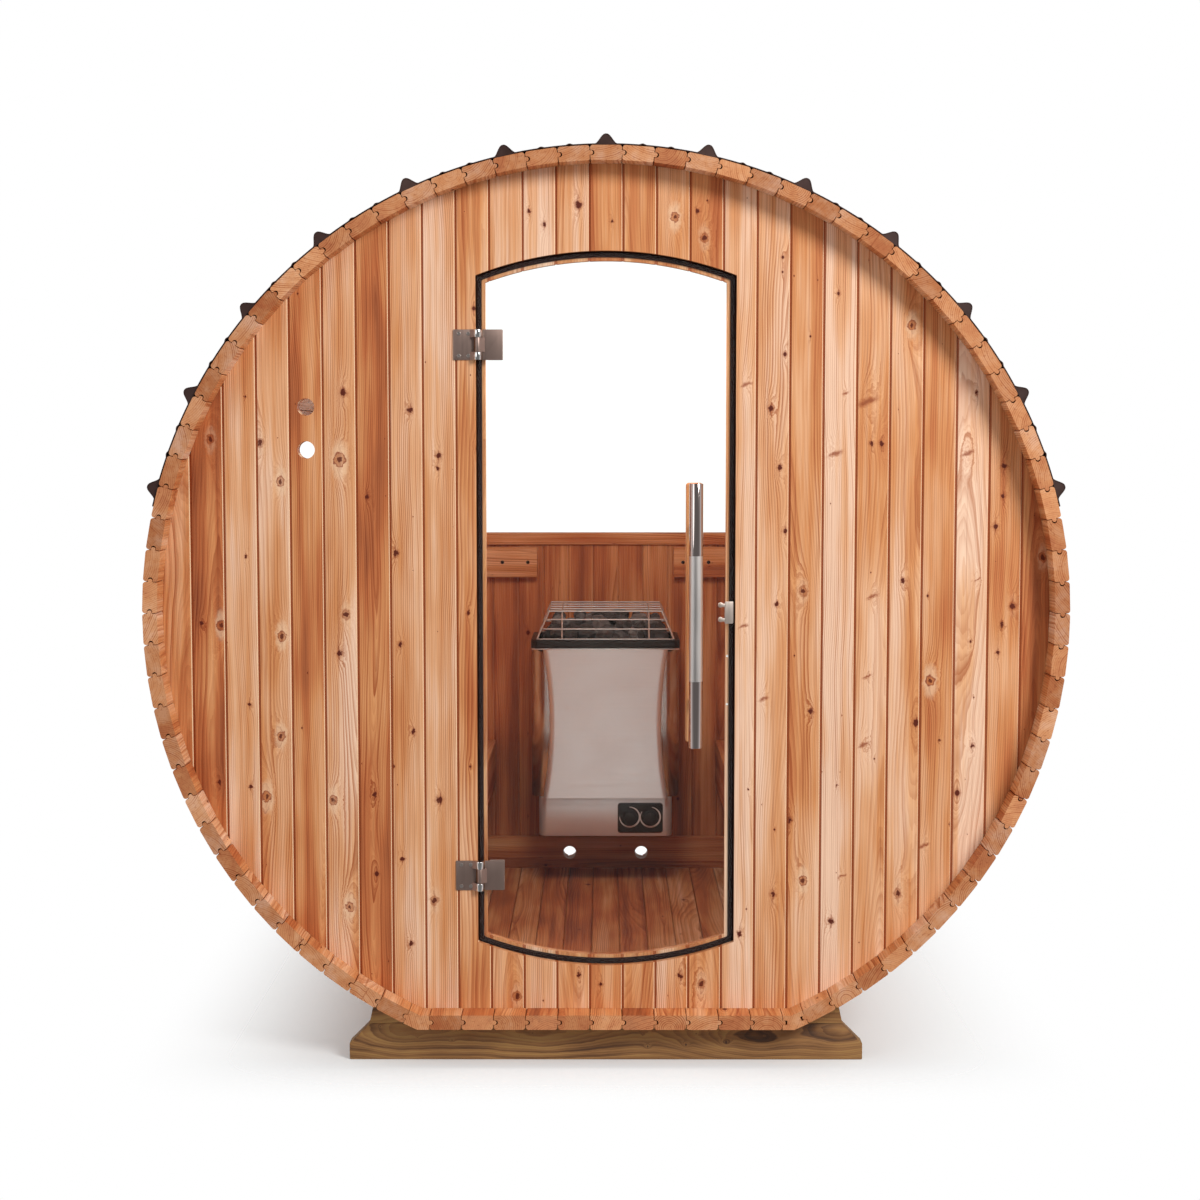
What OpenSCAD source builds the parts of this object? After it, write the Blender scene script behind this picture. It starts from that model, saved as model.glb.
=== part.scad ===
// Barrel sauna: coopered cedar staves with a flat floor, lying on two cradles, millimetres.
// X runs across the barrel, Y along it with the door at -Y, Z up from the ground.

/* [Barrel] */
// Outside diameter over the staves
barrel_d = 2134; // [2060:1:2200]
// Length of the staves
barrel_len = 1829; // [1600:1:2400]
// Width of the flat floor across its underside
floor_w = 880; // [820:1:940]
// Thickness of a stave
stave_t = 34; // [32:1:38]
// Width of a stave on its outer face
stave_face = 75; // [60:1:90]
// Arc leg of the stave that turns the floor's corner
corner_leg = 36; // [30:1:45]
// Eased edge on the outer face of a stave
stave_ease = 4; // [2:0.5:6]
// Eased edge on the inner face of a stave
stave_ease_in = 1.5; // [0.5:0.5:3]
// Thickness of the bead on a stave's edge
bead_w = 10; // [8:1:12]
// Reach of the bead past the joint
bead_len = 8; // [6:1:10]
// Space left at the bottom of the cove
cove_space = 3; // [1:0.5:4]
// Depth of the croze that seats the end walls
croze_depth = 12; // [8:1:14]

/* [Cradles] */
// Reach of a cradle beam past the flat floor
beam_over = 166; // [140:1:200]
// Height of a cradle beam
beam_h = 88; // [70:1:110]
// Thickness of a cradle beam
beam_t = 38; // [34:1:90]
// Height of the square part of a beam's end
beam_end_h = 40; // [20:1:50]
// Setback of the beam from the stave ends
beam_setback = 58; // [50:1:120]
// Height of a chock before the barrel's curve cuts it
chock_h = 75; // [60:1:90]
// Lean of a chock's outer end
chock_lean = 16; // [5:1:25]

/* [Hoops] */
// Width of a steel hoop
hoop_w = 25; // [15:1:40]
// Thickness of a steel hoop
hoop_t = 1; // [0.6:0.1:2]
// Distance of a hoop from the stave ends
hoop_setback = 320; // [200:1:400]

/* [Roof] */
// Thickness of the roof sheet
roof_t = 1; // [0.6:0.1:1.5]
// Setback of the sheet from the stave ends
roof_setback = 6; // [3:1:30]
// Distance between ribs along the sheet
rib_pitch = 231; // [200:1:260]
// Angle from the crown that the last rib stays within
roof_cover = 76; // [60:1:85]
// Width of a rib at its foot
rib_base = 46; // [36:1:60]
// Width of a rib across its top
rib_top = 13; // [8:1:20]
// Height of a rib
rib_h = 22; // [15:1:26]
// Width of a minor rib at its foot
minor_w = 16; // [12:1:24]
// Height of a minor rib
minor_h = 3; // [2:0.5:5]

/* [Front wall] */
// Thickness of the end walls
wall_t = 38; // [35:1:42]
// Setback of the end walls from the stave ends
wall_setback = 66; // [62:1:90]
// Width of a wall board
board_w = 77.2; // [70:0.1:90]
// Width of the doorway
door_w = 603; // [560:1:650]
// Height of the wall over the doorway's arch
head_h = 197; // [180:1:230]
// Width of the ledge the door shuts against
ledge_w = 22; // [18:1:28]
// Diameter of a vent hole
vent_d = 40; // [30:1:50]
// Distance between the two vent holes
vent_space = 99; // [80:1:140]

/* [Door] */
// Thickness of the glass
glass_t = 8; // [6:1:10]
// Space round the edge of the glass
glass_gap = 5; // [5:0.5:8]
// Setback of the glass from the wall's face
glass_inset = 1; // [0:0.5:2]
// Space between the glass and the seal
seal_gap = 6; // [5:0.5:8]
// Thickness of the seal
seal_t = 4; // [2:0.5:6]
// Width of the seal
seal_w = 14; // [8:1:18]
// Distance of a hinge from the doorway's corner
hinge_in = 159; // [120:1:220]
// Height of a hinge
hinge_h = 70; // [60:1:90]
// Width of the plate on the wall
plate_w = 48; // [40:1:60]
// Width of the clamp on the glass
clamp_w = 47; // [40:1:60]
// Diameter of the hinge pin
pin_d = 7; // [5:0.5:8]
// Diameter of a hinge knuckle
knuckle_d = 18; // [16:1:20]
// Length of the handles
handle_len = 612; // [500:1:700]
// Diameter of the outer handle
handle_d = 32; // [25:1:36]
// Space between the handles and the glass
handle_space = 32; // [28:1:38]
// Distance of the handles from the doorway's side
handle_in = 94; // [80:1:130]
// Width of the inner handle
grip_w = 40; // [30:1:45]
// Thickness of the inner handle
grip_t = 28; // [22:1:34]
// Height of the catch on the glass
catch_h = 52; // [40:1:60]
// Height of the handles' middle below the axis
handle_drop = 5; // [0:1:60]

/* [Back wall] */
// Top of the window sill above the axis
sill_top = 111; // [80:1:140]
// Height of the window sill
sill_h = 37; // [30:1:45]
// Overhang of the window sill
sill_over = 10; // [5:1:15]
// Height of the kick rail
kick_h = 98; // [85:1:110]
// Thickness of the kick rail
kick_t = 25; // [20:1:35]
// Diameter of a cable hole
cable_d = 40; // [30:1:50]
// Distance of a cable hole from the middle
cable_x = 112; // [90:1:130]
// Height of a wall cleat
cleat_h = 93; // [80:1:96]
// Thickness of a wall cleat
cleat_t = 35; // [25:1:40]
// Space between the two wall cleats
cleat_space = 422; // [380:1:480]

/* [Benches] */
// Width of the aisle between the benches
aisle_w = 686; // [640:1:720]
// Height of the benches above the floor
bench_h = 400; // [360:1:440]
// Height of a bench apron
apron_h = 135; // [110:1:150]
// Thickness of the bench boards
bench_t = 30; // [25:1:38]
// Space between bench slats
slat_gap = 6; // [4:1:12]
// Height of a bench bearer
bearer_h = 89; // [70:1:100]

/* [Heater] */
// Width of the heater
heater_w = 444; // [430:1:460]
// Depth of the heater's casing
heater_d = 250; // [220:1:280]
// Height of the heater's casing
heater_h = 446; // [400:1:480]
// Underside of the heater above the floor
heater_lift = 151; // [120:1:180]
// Depth of the wall bracket behind the heater
bracket_d = 30; // [26:1:40]
// Height of the control box
box_h = 118; // [105:1:130]
// Width of the control box
box_w = 400; // [385:1:415]
// Rounding of the control box at its front corners
box_r = 25; // [18:1:30]
// Width of the front panel at its top
front_w = 373; // [360:1:390]
// Width of the front panel at its waist
front_waist = 334; // [320:1:350]
// Height of the rim round the stones
rim_h = 28; // [20:1:34]
// Thickness of a guard wire
wire_d = 6; // [5:0.5:8]
// Height of the guard at the front
guard_front = 80; // [70:1:90]
// Height of the guard at the back
guard_back = 92; // [88:1:100]
// Setback of the guard's foot from the rim
guard_in = 14; // [11:1:16]
// Setback of the guard's foot from the rim's ends
guard_side = 18; // [14:1:19]
// Lean of the guard's sides
guard_lean = 36; // [30:1:40]
// Lean of the guard's front
guard_slope = 38; // [30:1:44]
// Width of the control panel
panel_w = 136; // [128:1:140]
// Height of the control panel
panel_h = 92; // [80:1:95]
// Diameter of a dial
dial_d = 44; // [36:1:48]
// Distance between the dials
dial_space = 62; // [58:1:70]

/* [Hidden] */
$fn = 96;
round_fn = 720;
play = 0.4;
joint_gap = 0.3;
rest_gap = 0.05;
barrel_r = barrel_d / 2;
half_chord = floor_w / 2;
floor_drop = sqrt(barrel_r * barrel_r - half_chord * half_chord);
axis_z = beam_h + floor_drop;
beam_len = floor_w + 2 * beam_over;
front_y = -barrel_len / 2;
back_y = barrel_len / 2;

// Staves round the arc, one of them on the crown
corner_ang = acos(floor_drop / barrel_r);
leg_ang = corner_leg / barrel_r * 180 / PI;
arc_start = corner_ang + leg_ang;
face_ang = stave_face / barrel_r * 180 / PI;
stave_n = 2 * round(((360 - 2 * arc_start) / face_ang - 1) / 2) + 1;
stave_ang = (360 - 2 * arc_start) / stave_n;
half_ang = stave_ang / 2;
face_v = barrel_r * cos(half_ang);
inner_v = face_v - stave_t;
bead_r = (face_v - stave_t / 2) / cos(half_ang);
room_r = inner_v - play;

// Staves across the floor, one of them in the middle
floor_n = 2 * floor((half_chord - 25) / stave_face - 0.5) + 1;
floor_half = floor_n * stave_face / 2;
floor_v = stave_t - floor_drop;
croze_r = inner_v + croze_depth;
croze_v = floor_v - croze_depth;

// End walls
wall_y = front_y + wall_setback;
wall_in_y = wall_y + wall_t;
back_in_y = back_y - wall_setback - wall_t;
back_out_y = back_y - wall_setback;
wall_top = sill_top - sill_h;
pane_y = (back_in_y + back_out_y) / 2;
vent_x = -round(2 / 3 * barrel_r / board_w) * board_w;
vent_hi = 0.447 * barrel_r;
vent_lo = vent_hi - vent_space;

// Door, with the glass in front of its seal and ledge
glass_y = wall_y + glass_inset;
glass_back = glass_y + glass_t;
seal_y = glass_back + seal_gap;
ledge_y = seal_y + seal_t;
door_r = inner_v - head_h;
hinge_z = sqrt(door_r * door_r - door_w * door_w / 4) - hinge_in;
handle_x = door_w / 2 - handle_in;
glass_half = door_w / 2 - glass_gap;
glass_r = door_r - glass_gap;
pin_x = 6 - door_w / 2;
pin_y = wall_y - knuckle_d / 2 - 2;
knuckle_h = 18;
catch_z = 0;
prong_z = catch_h / 2 - 9;

// Benches
bench_v = floor_v + bench_h;
slat_v = bench_v - bench_t;
aisle = aisle_w / 2;
slat_x = aisle + bench_t + 4;
slat_end = sqrt(room_r * room_r - slat_v * slat_v) - 6;
slat_n = floor((slat_end - slat_x + slat_gap) / (90 + slat_gap));
slat_w = (slat_end - slat_x - (slat_n - 1) * slat_gap) / slat_n;

// Heater
heater_back = back_in_y - bracket_d;
heater_y = heater_back - heater_d;
front_t = 30;
front_y1 = heater_y - front_t;
box_v = floor_v + heater_lift;
case_v = box_v + box_h;
rim_v = case_v + heater_h;
stone_v = rim_v + rim_h;
box_y = heater_y - 6;
panel_t = 3;
rim_w = 22;
case_r = 40;
stone_in = 12;
dial_gap = 1;
spindle_d = 8;
spindle_h = 9;
dial_t = 16;
panel_x1 = box_w / 2 - box_r - 2.5;
dial_x = panel_x1 - panel_w / 2 - 1;
dial_v = box_v + 58;

// Roof sheet
roof_r = barrel_r + hoop_t + 2 * play;
rib_step = rib_pitch / roof_r * 180 / PI;
rib_side = floor(roof_cover / rib_step);
roof_edge = rib_side * rib_step + rib_base / 2 / roof_r * 180 / PI + 1;
lap_ang = 2 * rib_step + rib_base / 2 / roof_r * 180 / PI + 1;

// An outline drawn across the barrel about its axis, run along Y
module run(y0, y1) {
  translate([0, y1, axis_z])
    rotate([90, 0, 0])
      linear_extrude(height = y1 - y0)
        children();
}

// A circle with its lower part cut off flat
module flat_disc(r, v) {
  difference() {
    circle(r = r, $fn = round_fn);
    translate([-2 * r, v - 2 * r])
      square([4 * r, 2 * r]);
  }
}

// A wedge between two angles measured clockwise from straight up
module sector(a0, a1) {
  m = (a0 + a1) / 2;
  polygon([[0, 0], 2 * barrel_r * [sin(a0), cos(a0)], 2 * barrel_r * [sin(m), cos(m)],
           2 * barrel_r * [sin(a1), cos(a1)]]);
}

// A strip across X between two edges
module strip(x0, x1) {
  translate([x0, -2 * barrel_r])
    square([x1 - x0, 4 * barrel_r]);
}

module mirrored() {
  children();
  mirror([1, 0, 0])
    children();
}

// Cradles

module beam(y) {
  c = beam_h - beam_end_h;
  h = beam_len / 2;
  top = beam_h - rest_gap;
  color("#8a6f47")
    translate([0, y + beam_t, 0])
      rotate([90, 0, 0])
        linear_extrude(height = beam_t)
          polygon([[-h, 0], [h, 0], [h, beam_end_h], [h - c, top], [c - h, top], [-h, beam_end_h]]);
}

module front_cradle() {
  beam(front_y + beam_setback);
}

module back_cradle() {
  beam(back_y - beam_setback - beam_t);
}

module chock(y) {
  x = beam_len / 2 - beam_h + beam_end_h;
  v = -floor_drop;
  run(y, y + beam_t)
    difference() {
      polygon([[x, v], [x - chock_lean, v + chock_h], [half_chord + 12, v + chock_h], [half_chord + 12, v]]);
      circle(r = barrel_r + play, $fn = round_fn);
    }
}

module cradle_chocks() {
  color("#8a6f47")
    mirrored() {
      chock(front_y + beam_setback);
      chock(back_y - beam_setback - beam_t);
    }
}

// Staves

// Half the width of an arc stave at a distance from the axis
function half_w(v) = v * tan(half_ang) - joint_gap / 2;

// A bead past a joint that lies on the line u = 0
module bead(r) {
  translate([-3, r - bead_w / 2])
    square([3 + bead_len - bead_w / 2, bead_w]);
  translate([bead_len - bead_w / 2, r])
    circle(d = bead_w);
}

// The cove that takes a neighbour's bead, cut from a joint on the line u = 0
module cove(r) {
  translate([-1, r - bead_w / 2 - joint_gap])
    square([1 + bead_len + cove_space, bead_w + 2 * joint_gap]);
}

module arc_stave_face() {
  e = stave_ease;
  i = stave_ease_in;
  difference() {
    union() {
      polygon([[e - half_w(face_v), face_v], [half_w(face_v) - e, face_v], [half_w(face_v - e), face_v - e],
               [half_w(inner_v + i), inner_v + i], [half_w(inner_v) - i, inner_v],
               [i - half_w(inner_v), inner_v], [-half_w(inner_v + i), inner_v + i],
               [-half_w(face_v - e), face_v - e]]);
      rotate(-half_ang)
        bead(bead_r);
    }
    rotate(half_ang)
      cove(bead_r);
  }
}

module floor_stave_face() {
  e = stave_ease;
  i = stave_ease_in;
  w = stave_face / 2 - joint_gap / 2;
  difference() {
    union() {
      polygon([[e - w, 0], [w - e, 0], [w, e], [w, stave_t - i], [w - i, stave_t], [i - w, stave_t],
               [-w, stave_t - i], [-w, e]]);
      translate([stave_face / 2, 0])
        bead(stave_t / 2);
    }
    translate([-stave_face / 2, 0])
      cove(stave_t / 2);
  }
}

// The stave on the right that turns from the arc to the floor
leg_mid = corner_ang + leg_ang / 2;
leg_v = barrel_r * cos(leg_ang / 2);
leg_in = leg_v - stave_t;
function leg_point(v, a) = v / cos(a - leg_mid) * [sin(a), -cos(a)];
leg_end = arc_start - joint_gap / 2 / barrel_r * 180 / PI;
inner_u = (leg_in + floor_v * cos(leg_mid)) / sin(leg_mid);
leg_bead_r = (leg_v - stave_t / 2) / cos(leg_ang / 2);

module corner_body() {
  x = floor_half + joint_gap / 2;
  polygon([leg_point(leg_v, leg_end), [half_chord, -floor_drop], [x, -floor_drop], [x, floor_v],
           [inner_u, floor_v], leg_point(leg_in, leg_end)]);
}

module corner_right_face() {
  difference() {
    corner_body();
    translate([floor_half, -floor_drop])
      cove(stave_t / 2);
    rotate(arc_start + 180)
      cove(leg_bead_r);
  }
}

module corner_left_face() {
  mirror([1, 0, 0])
    corner_body();
  translate([-floor_half, -floor_drop])
    bead(stave_t / 2);
  rotate(180 - arc_start)
    bead(leg_bead_r);
}

// Grooves that seat the front wall, the back wall and the window
module crozes() {
  run(wall_y - play, wall_in_y + play)
    flat_disc(croze_r, croze_v);
  run(back_in_y - play, back_out_y + play)
    intersection() {
      flat_disc(croze_r, croze_v);
      translate([-2 * barrel_r, wall_top + play - 4 * barrel_r])
        square(4 * barrel_r);
    }
  run(pane_y - glass_t / 2 - play, pane_y + glass_t / 2 + play)
    flat_disc(croze_r, wall_top + play);
}

// Staves of one seventh of the arc, counted clockwise from the lower left
module arc_staves(g) {
  color("#c79464")
    difference() {
      for (i = [round(g * stave_n / 7) : round((g + 1) * stave_n / 7) - 1])
        run(front_y, back_y)
          rotate(180 - arc_start - (i + 0.5) * stave_ang)
            arc_stave_face();
      crozes();
    }
}

module left_lower_staves() {
  arc_staves(0);
}

module left_middle_staves() {
  arc_staves(1);
}

module left_upper_staves() {
  arc_staves(2);
}

module crown_staves() {
  arc_staves(3);
}

module right_upper_staves() {
  arc_staves(4);
}

module right_middle_staves() {
  arc_staves(5);
}

module right_lower_staves() {
  arc_staves(6);
}

module floor_staves() {
  color("#c79464")
    difference() {
      for (i = [0 : floor_n - 1])
        run(front_y, back_y)
          translate([(i - (floor_n - 1) / 2) * stave_face, -floor_drop])
            floor_stave_face();
      crozes();
    }
}

module corner_staves() {
  color("#c79464")
    difference() {
      union() {
        run(front_y, back_y)
          corner_left_face();
        run(front_y, back_y)
          corner_right_face();
      }
      crozes();
    }
}

module hoop(y) {
  run(y, y + hoop_w)
    difference() {
      flat_disc(barrel_r + play + hoop_t, -floor_drop - play - hoop_t);
      flat_disc(barrel_r + play, -floor_drop - play);
    }
}

module hoops() {
  color("#8f9296") {
    hoop(front_y + hoop_setback);
    hoop(back_y - hoop_setback - hoop_w);
  }
}

// Roof

// A point at height h over the sheet, x across from the ray at angle a
function on_roof(a, x, h) = [x * cos(a) + (roof_r + h) * sin(a), (roof_r + h) * cos(a) - x * sin(a)];

// Half outlines of a major and a minor rib as [x, h] from the foot to the top, for a sheet grown by t
function major(t) = [[rib_base / 2 + 0.7 * t, t], [0.77 * rib_top + 0.8 * t, 0.8 * rib_h - roof_t + t],
                     [rib_top / 2 + 0.5 * t, rib_h - roof_t + t]];
function minor(t) = [[minor_w / 2 + 0.4 * t, t], [minor_w / 4 + 0.4 * t, minor_h - roof_t + t]];

// A rib's whole outline at angle a
function rib_line(a, half) = concat([for (p = half) on_roof(a, -p[0], p[1])],
                                    [for (i = [len(half) - 1 : -1 : 0]) on_roof(a, half[i][0], half[i][1])]);

// Minor ribs between rib k and the next one
function between(k, t) = [
  for (f = [0.23, 0.36, 0.5, 0.64, 0.77])
    each f == 0.36 || f == 0.64 ? rib_line((k + f) * rib_step, minor(t)) : [on_roof((k + f) * rib_step, 0, t)]
];

// One face of the sheet from angle a0 over ribs k0 to k1 to angle a1
function sheet_line(k0, k1, a0, a1, t) = concat(
  [on_roof(a0, 0, t)],
  a0 > 0 ? between(k0 - 1, t) : [],
  [for (k = [k0 : k1]) each concat(rib_line(k * rib_step, major(t)), k < k1 ? between(k, t) : [])],
  a1 < 0 ? between(k1, t) : [],
  [on_roof(a1, 0, t)]
);

module sheet(k0, k1, a0, a1) {
  outer = sheet_line(k0, k1, a0, a1, roof_t);
  inner = sheet_line(k0, k1, a0, a1, 0);
  color("#3a2f2b")
    run(front_y + roof_setback, back_y - roof_setback)
      polygon(concat(outer, [for (i = [len(inner) - 1 : -1 : 0]) inner[i]]));
}

module roof_left() {
  sheet(-rib_side, -3, -roof_edge, -lap_ang - 0.02);
}

module roof_crown() {
  sheet(-2, 2, -lap_ang, lap_ang);
}

module roof_right() {
  sheet(3, rib_side, lap_ang + 0.02, roof_edge);
}

// Front wall

module wall_face() {
  flat_disc(croze_r - play, croze_v + play);
}

module doorway(inset) {
  intersection() {
    circle(r = door_r - inset, $fn = round_fn);
    strip(inset - door_w / 2, door_w / 2 - inset);
  }
}

// A part of the front wall between two edges, with the ledge round the doorway
module front_part(x0, x1) {
  color("#d3a273") {
    run(wall_y, ledge_y)
      intersection() {
        difference() {
          wall_face();
          doorway(0);
        }
        strip(x0, x1);
      }
    run(ledge_y, wall_in_y)
      intersection() {
        difference() {
          wall_face();
          doorway(ledge_w);
        }
        strip(x0, x1);
      }
  }
}

module front_wall_left() {
  front_part(-barrel_r, vent_x - board_w / 2);
  front_part(vent_x + board_w / 2, ledge_w - door_w / 2);
}

module vent_board() {
  difference() {
    front_part(vent_x - board_w / 2, vent_x + board_w / 2);
    for (v = [vent_hi, vent_lo])
      translate([vent_x, wall_y - 1, axis_z + v])
        rotate([-90, 0, 0])
          cylinder(d = vent_d, h = wall_t + 2);
  }
}

module front_wall_right() {
  front_part(door_w / 2 - ledge_w, barrel_r);
}

module front_wall_head() {
  intersection() {
    front_part(ledge_w - door_w / 2, door_w / 2 - ledge_w);
    translate([-barrel_r, wall_y - 1, axis_z])
      cube([2 * barrel_r, wall_t + 2, barrel_r]);
  }
}

module front_wall_sill() {
  intersection() {
    front_part(ledge_w - door_w / 2, door_w / 2 - ledge_w);
    translate([-barrel_r, wall_y - 1, axis_z - barrel_r])
      cube([2 * barrel_r, wall_t + 2, barrel_r]);
  }
}

// Door

module door_seal() {
  color("#1c1a19")
    run(seal_y, ledge_y)
      difference() {
        doorway(play);
        doorway(seal_w);
      }
}

// Everything on a hinge is drawn in plan about its pin
module at_hinges() {
  for (s = [-1, 1])
    translate([pin_x, pin_y, axis_z + s * hinge_z])
      children();
}

module hinge_plates() {
  gap = wall_y - pin_y;
  color("#b9bcbe")
    at_hinges() {
      translate([-knuckle_d / 2 - plate_w, gap - 3, -hinge_h / 2])
        cube([plate_w, 3, hinge_h]);
      for (z = [-hinge_h / 2, hinge_h / 2 - knuckle_h])
        translate([0, 0, z])
          linear_extrude(height = knuckle_h) {
            circle(d = knuckle_d);
            polygon([[-knuckle_d / 2 - 10, gap - 2], [-knuckle_d / 3, -knuckle_d / 3], [0, knuckle_d / 4],
                     [-knuckle_d / 2, gap]]);
          }
      translate([0, 0, -hinge_h / 2])
        cylinder(d = pin_d, h = hinge_h);
    }
}

module hinge_clamps() {
  gap = glass_y - pin_y;
  sleeve_h = hinge_h - 2 * knuckle_h - 1;
  sleeve_r = pin_d / 2 + 3;
  clamp_x = knuckle_d / 2 + 1;
  color("#b9bcbe")
    at_hinges() {
      difference() {
        union() {
          translate([clamp_x, gap - 4, -hinge_h / 2])
            cube([clamp_w, 4, hinge_h]);
          translate([0, 0, -sleeve_h / 2])
            linear_extrude(height = sleeve_h) {
              circle(r = sleeve_r);
              polygon([[0.7 * sleeve_r, -0.7 * sleeve_r], [clamp_x + 6, gap - 4], [clamp_x + 1, gap - 1],
                       [-0.7 * sleeve_r, 0.7 * sleeve_r]]);
            }
        }
        translate([0, 0, -hinge_h])
          cylinder(d = pin_d + 2 * joint_gap, h = 2 * hinge_h);
      }
      translate([ledge_w + 6 - pin_x - door_w / 2, gap + glass_t, -hinge_h / 2])
        cube([clamp_x + clamp_w + pin_x + door_w / 2 - ledge_w - 6, 4, hinge_h]);
    }
}

module door_glass() {
  color("#cfd8d8", 0.4)
    run(glass_y, glass_back)
      intersection() {
        circle(r = glass_r, $fn = round_fn);
        strip(-glass_half, glass_half);
      }
}

module door_handle() {
  z = axis_z - handle_drop;
  y = glass_y - handle_space - handle_d / 2;
  color("#c4c7c9") {
    translate([handle_x, y, z - handle_len / 2])
      cylinder(d = handle_d, h = handle_len);
    for (s = [-1, 1])
      translate([handle_x, y, z + s * handle_len / 3])
        rotate([-90, 0, 0])
          cylinder(d = handle_d / 2, h = glass_y - y);
  }
}

module inner_handle() {
  z = axis_z - handle_drop;
  y = glass_back + handle_space;
  color("#c08a5c") {
    translate([handle_x - grip_w / 2, y, z - handle_len / 2])
      cube([grip_w, grip_t, handle_len]);
    for (s = [-1, 1])
      translate([handle_x, glass_back, z + s * handle_len / 3])
        rotate([-90, 0, 0])
          cylinder(d = grip_w / 2, h = handle_space + 1);
  }
}

module door_catch() {
  color("#b9bcbe") {
    translate([glass_half - 20, glass_y - 2.5, axis_z + catch_z - catch_h / 2])
      cube([20, 2.5, catch_h]);
    for (s = [-1, 1])
      translate([glass_half - 32, glass_y - 2.5, axis_z + catch_z + s * prong_z - 4])
        cube([14, 2.5, 8]);
    for (s = [-1, 1])
      translate([glass_half - 29, glass_back, axis_z + catch_z + s * prong_z])
        rotate([-90, 0, 0])
          cylinder(d = 12, h = 3);
  }
}

// Back wall

module back_part(x0, x1) {
  run(back_in_y, back_out_y)
    intersection() {
      wall_face();
      strip(x0, x1);
      translate([-2 * barrel_r, wall_top - 4 * barrel_r])
        square(4 * barrel_r);
    }
}

module cable_hole(s) {
  translate([s * cable_x, back_in_y - kick_t - 1, axis_z + floor_v + kick_h / 2])
    rotate([-90, 0, 0])
      cylinder(d = cable_d, h = kick_t + wall_t + 2);
}

module back_wall_left() {
  color("#c08a5c")
    difference() {
      back_part(-barrel_r, -board_w / 2);
      cable_hole(-1);
    }
}

module back_wall_right() {
  color("#c08a5c")
    difference() {
      back_part(-board_w / 2, barrel_r);
      cable_hole(1);
    }
}

module kick_rail() {
  color("#b98457")
    difference() {
      run(back_in_y - kick_t, back_in_y)
        intersection() {
          circle(r = room_r, $fn = round_fn);
          translate([-barrel_r, floor_v])
            square([2 * barrel_r, kick_h]);
        }
      cable_hole(-1);
      cable_hole(1);
    }
}

module window_sill() {
  color("#b98457")
    difference() {
      run(back_in_y - sill_over, back_out_y + sill_over)
        intersection() {
          circle(r = room_r, $fn = round_fn);
          translate([-barrel_r, wall_top])
            square([2 * barrel_r, sill_h]);
        }
      translate([-barrel_r, pane_y - glass_t / 2 - play, axis_z + sill_top - 10])
        cube([2 * barrel_r, glass_t + 2 * play, 20]);
    }
}

module window_glass() {
  color("#cfd8d8", 0.4)
    run(pane_y - glass_t / 2, pane_y + glass_t / 2)
      flat_disc(croze_r - play, sill_top - 10 + play);
}

module wall_cleats() {
  color("#b98457")
    run(back_in_y - cleat_t, back_in_y)
      difference() {
        intersection() {
          circle(r = room_r, $fn = round_fn);
          translate([-barrel_r, wall_top - 6 - cleat_h])
            square([2 * barrel_r, cleat_h]);
        }
        strip(-cleat_space / 2, cleat_space / 2);
      }
}

// Benches

module slats() {
  for (i = [0 : slat_n - 1])
    translate([slat_x + i * (slat_w + slat_gap), wall_in_y + play, axis_z + slat_v])
      cube([slat_w, back_in_y - wall_in_y - 2 * play, bench_t]);
}

module right_bench_slats() {
  color("#b98457")
    slats();
}

module left_bench_slats() {
  color("#b98457")
    mirror([1, 0, 0])
      slats();
}

module bench_aprons() {
  color("#c08a5c")
    mirrored()
      translate([aisle, wall_in_y + play, axis_z + bench_v - apron_h])
        cube([bench_t, back_in_y - wall_in_y - 2 * play, apron_h]);
}

module bench_bearers() {
  color("#b98457")
    mirrored()
      for (y = [wall_in_y, -stave_t / 2, back_in_y - stave_t])
        run(y, y + stave_t)
          intersection() {
            circle(r = room_r, $fn = round_fn);
            translate([aisle + bench_t, slat_v - bearer_h])
              square([barrel_r, bearer_h]);
          }
}

// Heater

module heater_bracket() {
  color("#9a9a98")
    for (v = [case_v + 60, rim_v - 90])
      translate([-heater_w / 2 + 40, heater_back, axis_z + v])
        cube([heater_w - 80, bracket_d, 30]);
}

// A box against the bracket with its two front corners rounded
module round_box(w, y, v, h, r) {
  translate([0, 0, axis_z + v])
    linear_extrude(height = h) {
      translate([-w / 2, y + r])
        square([w, heater_back - y - r]);
      translate([r - w / 2, y])
        square([w - 2 * r, heater_back - y]);
      for (s = [-1, 1])
        translate([s * (w / 2 - r), y + r])
          circle(r = r);
    }
}

module heater_casing() {
  color("#a7a49e")
    round_box(heater_w, heater_y, case_v, heater_h, case_r);
}

module heater_front() {
  sag = (front_w - front_waist) / 2;
  r = (heater_h * heater_h / 4 + sag * sag) / (2 * sag);
  color("#c2bfb9")
    translate([0, 0, case_v + heater_h / 2])
      run(front_y1, heater_y)
        difference() {
          square([front_w, heater_h], center = true);
          for (s = [-1, 1])
            translate([s * (front_waist / 2 + r), 0])
              circle(r = r, $fn = round_fn);
        }
}

module heater_rim() {
  w = heater_w;
  d = heater_d + front_t;
  color("#6f6d69")
    difference() {
      translate([-w / 2, front_y1, axis_z + rim_v])
        cube([w, d, rim_h]);
      translate([rim_w - w / 2, front_y1 + rim_w, axis_z + rim_v - 1])
        cube([w - 2 * rim_w, d - 2 * rim_w, rim_h + 2]);
    }
}

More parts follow.
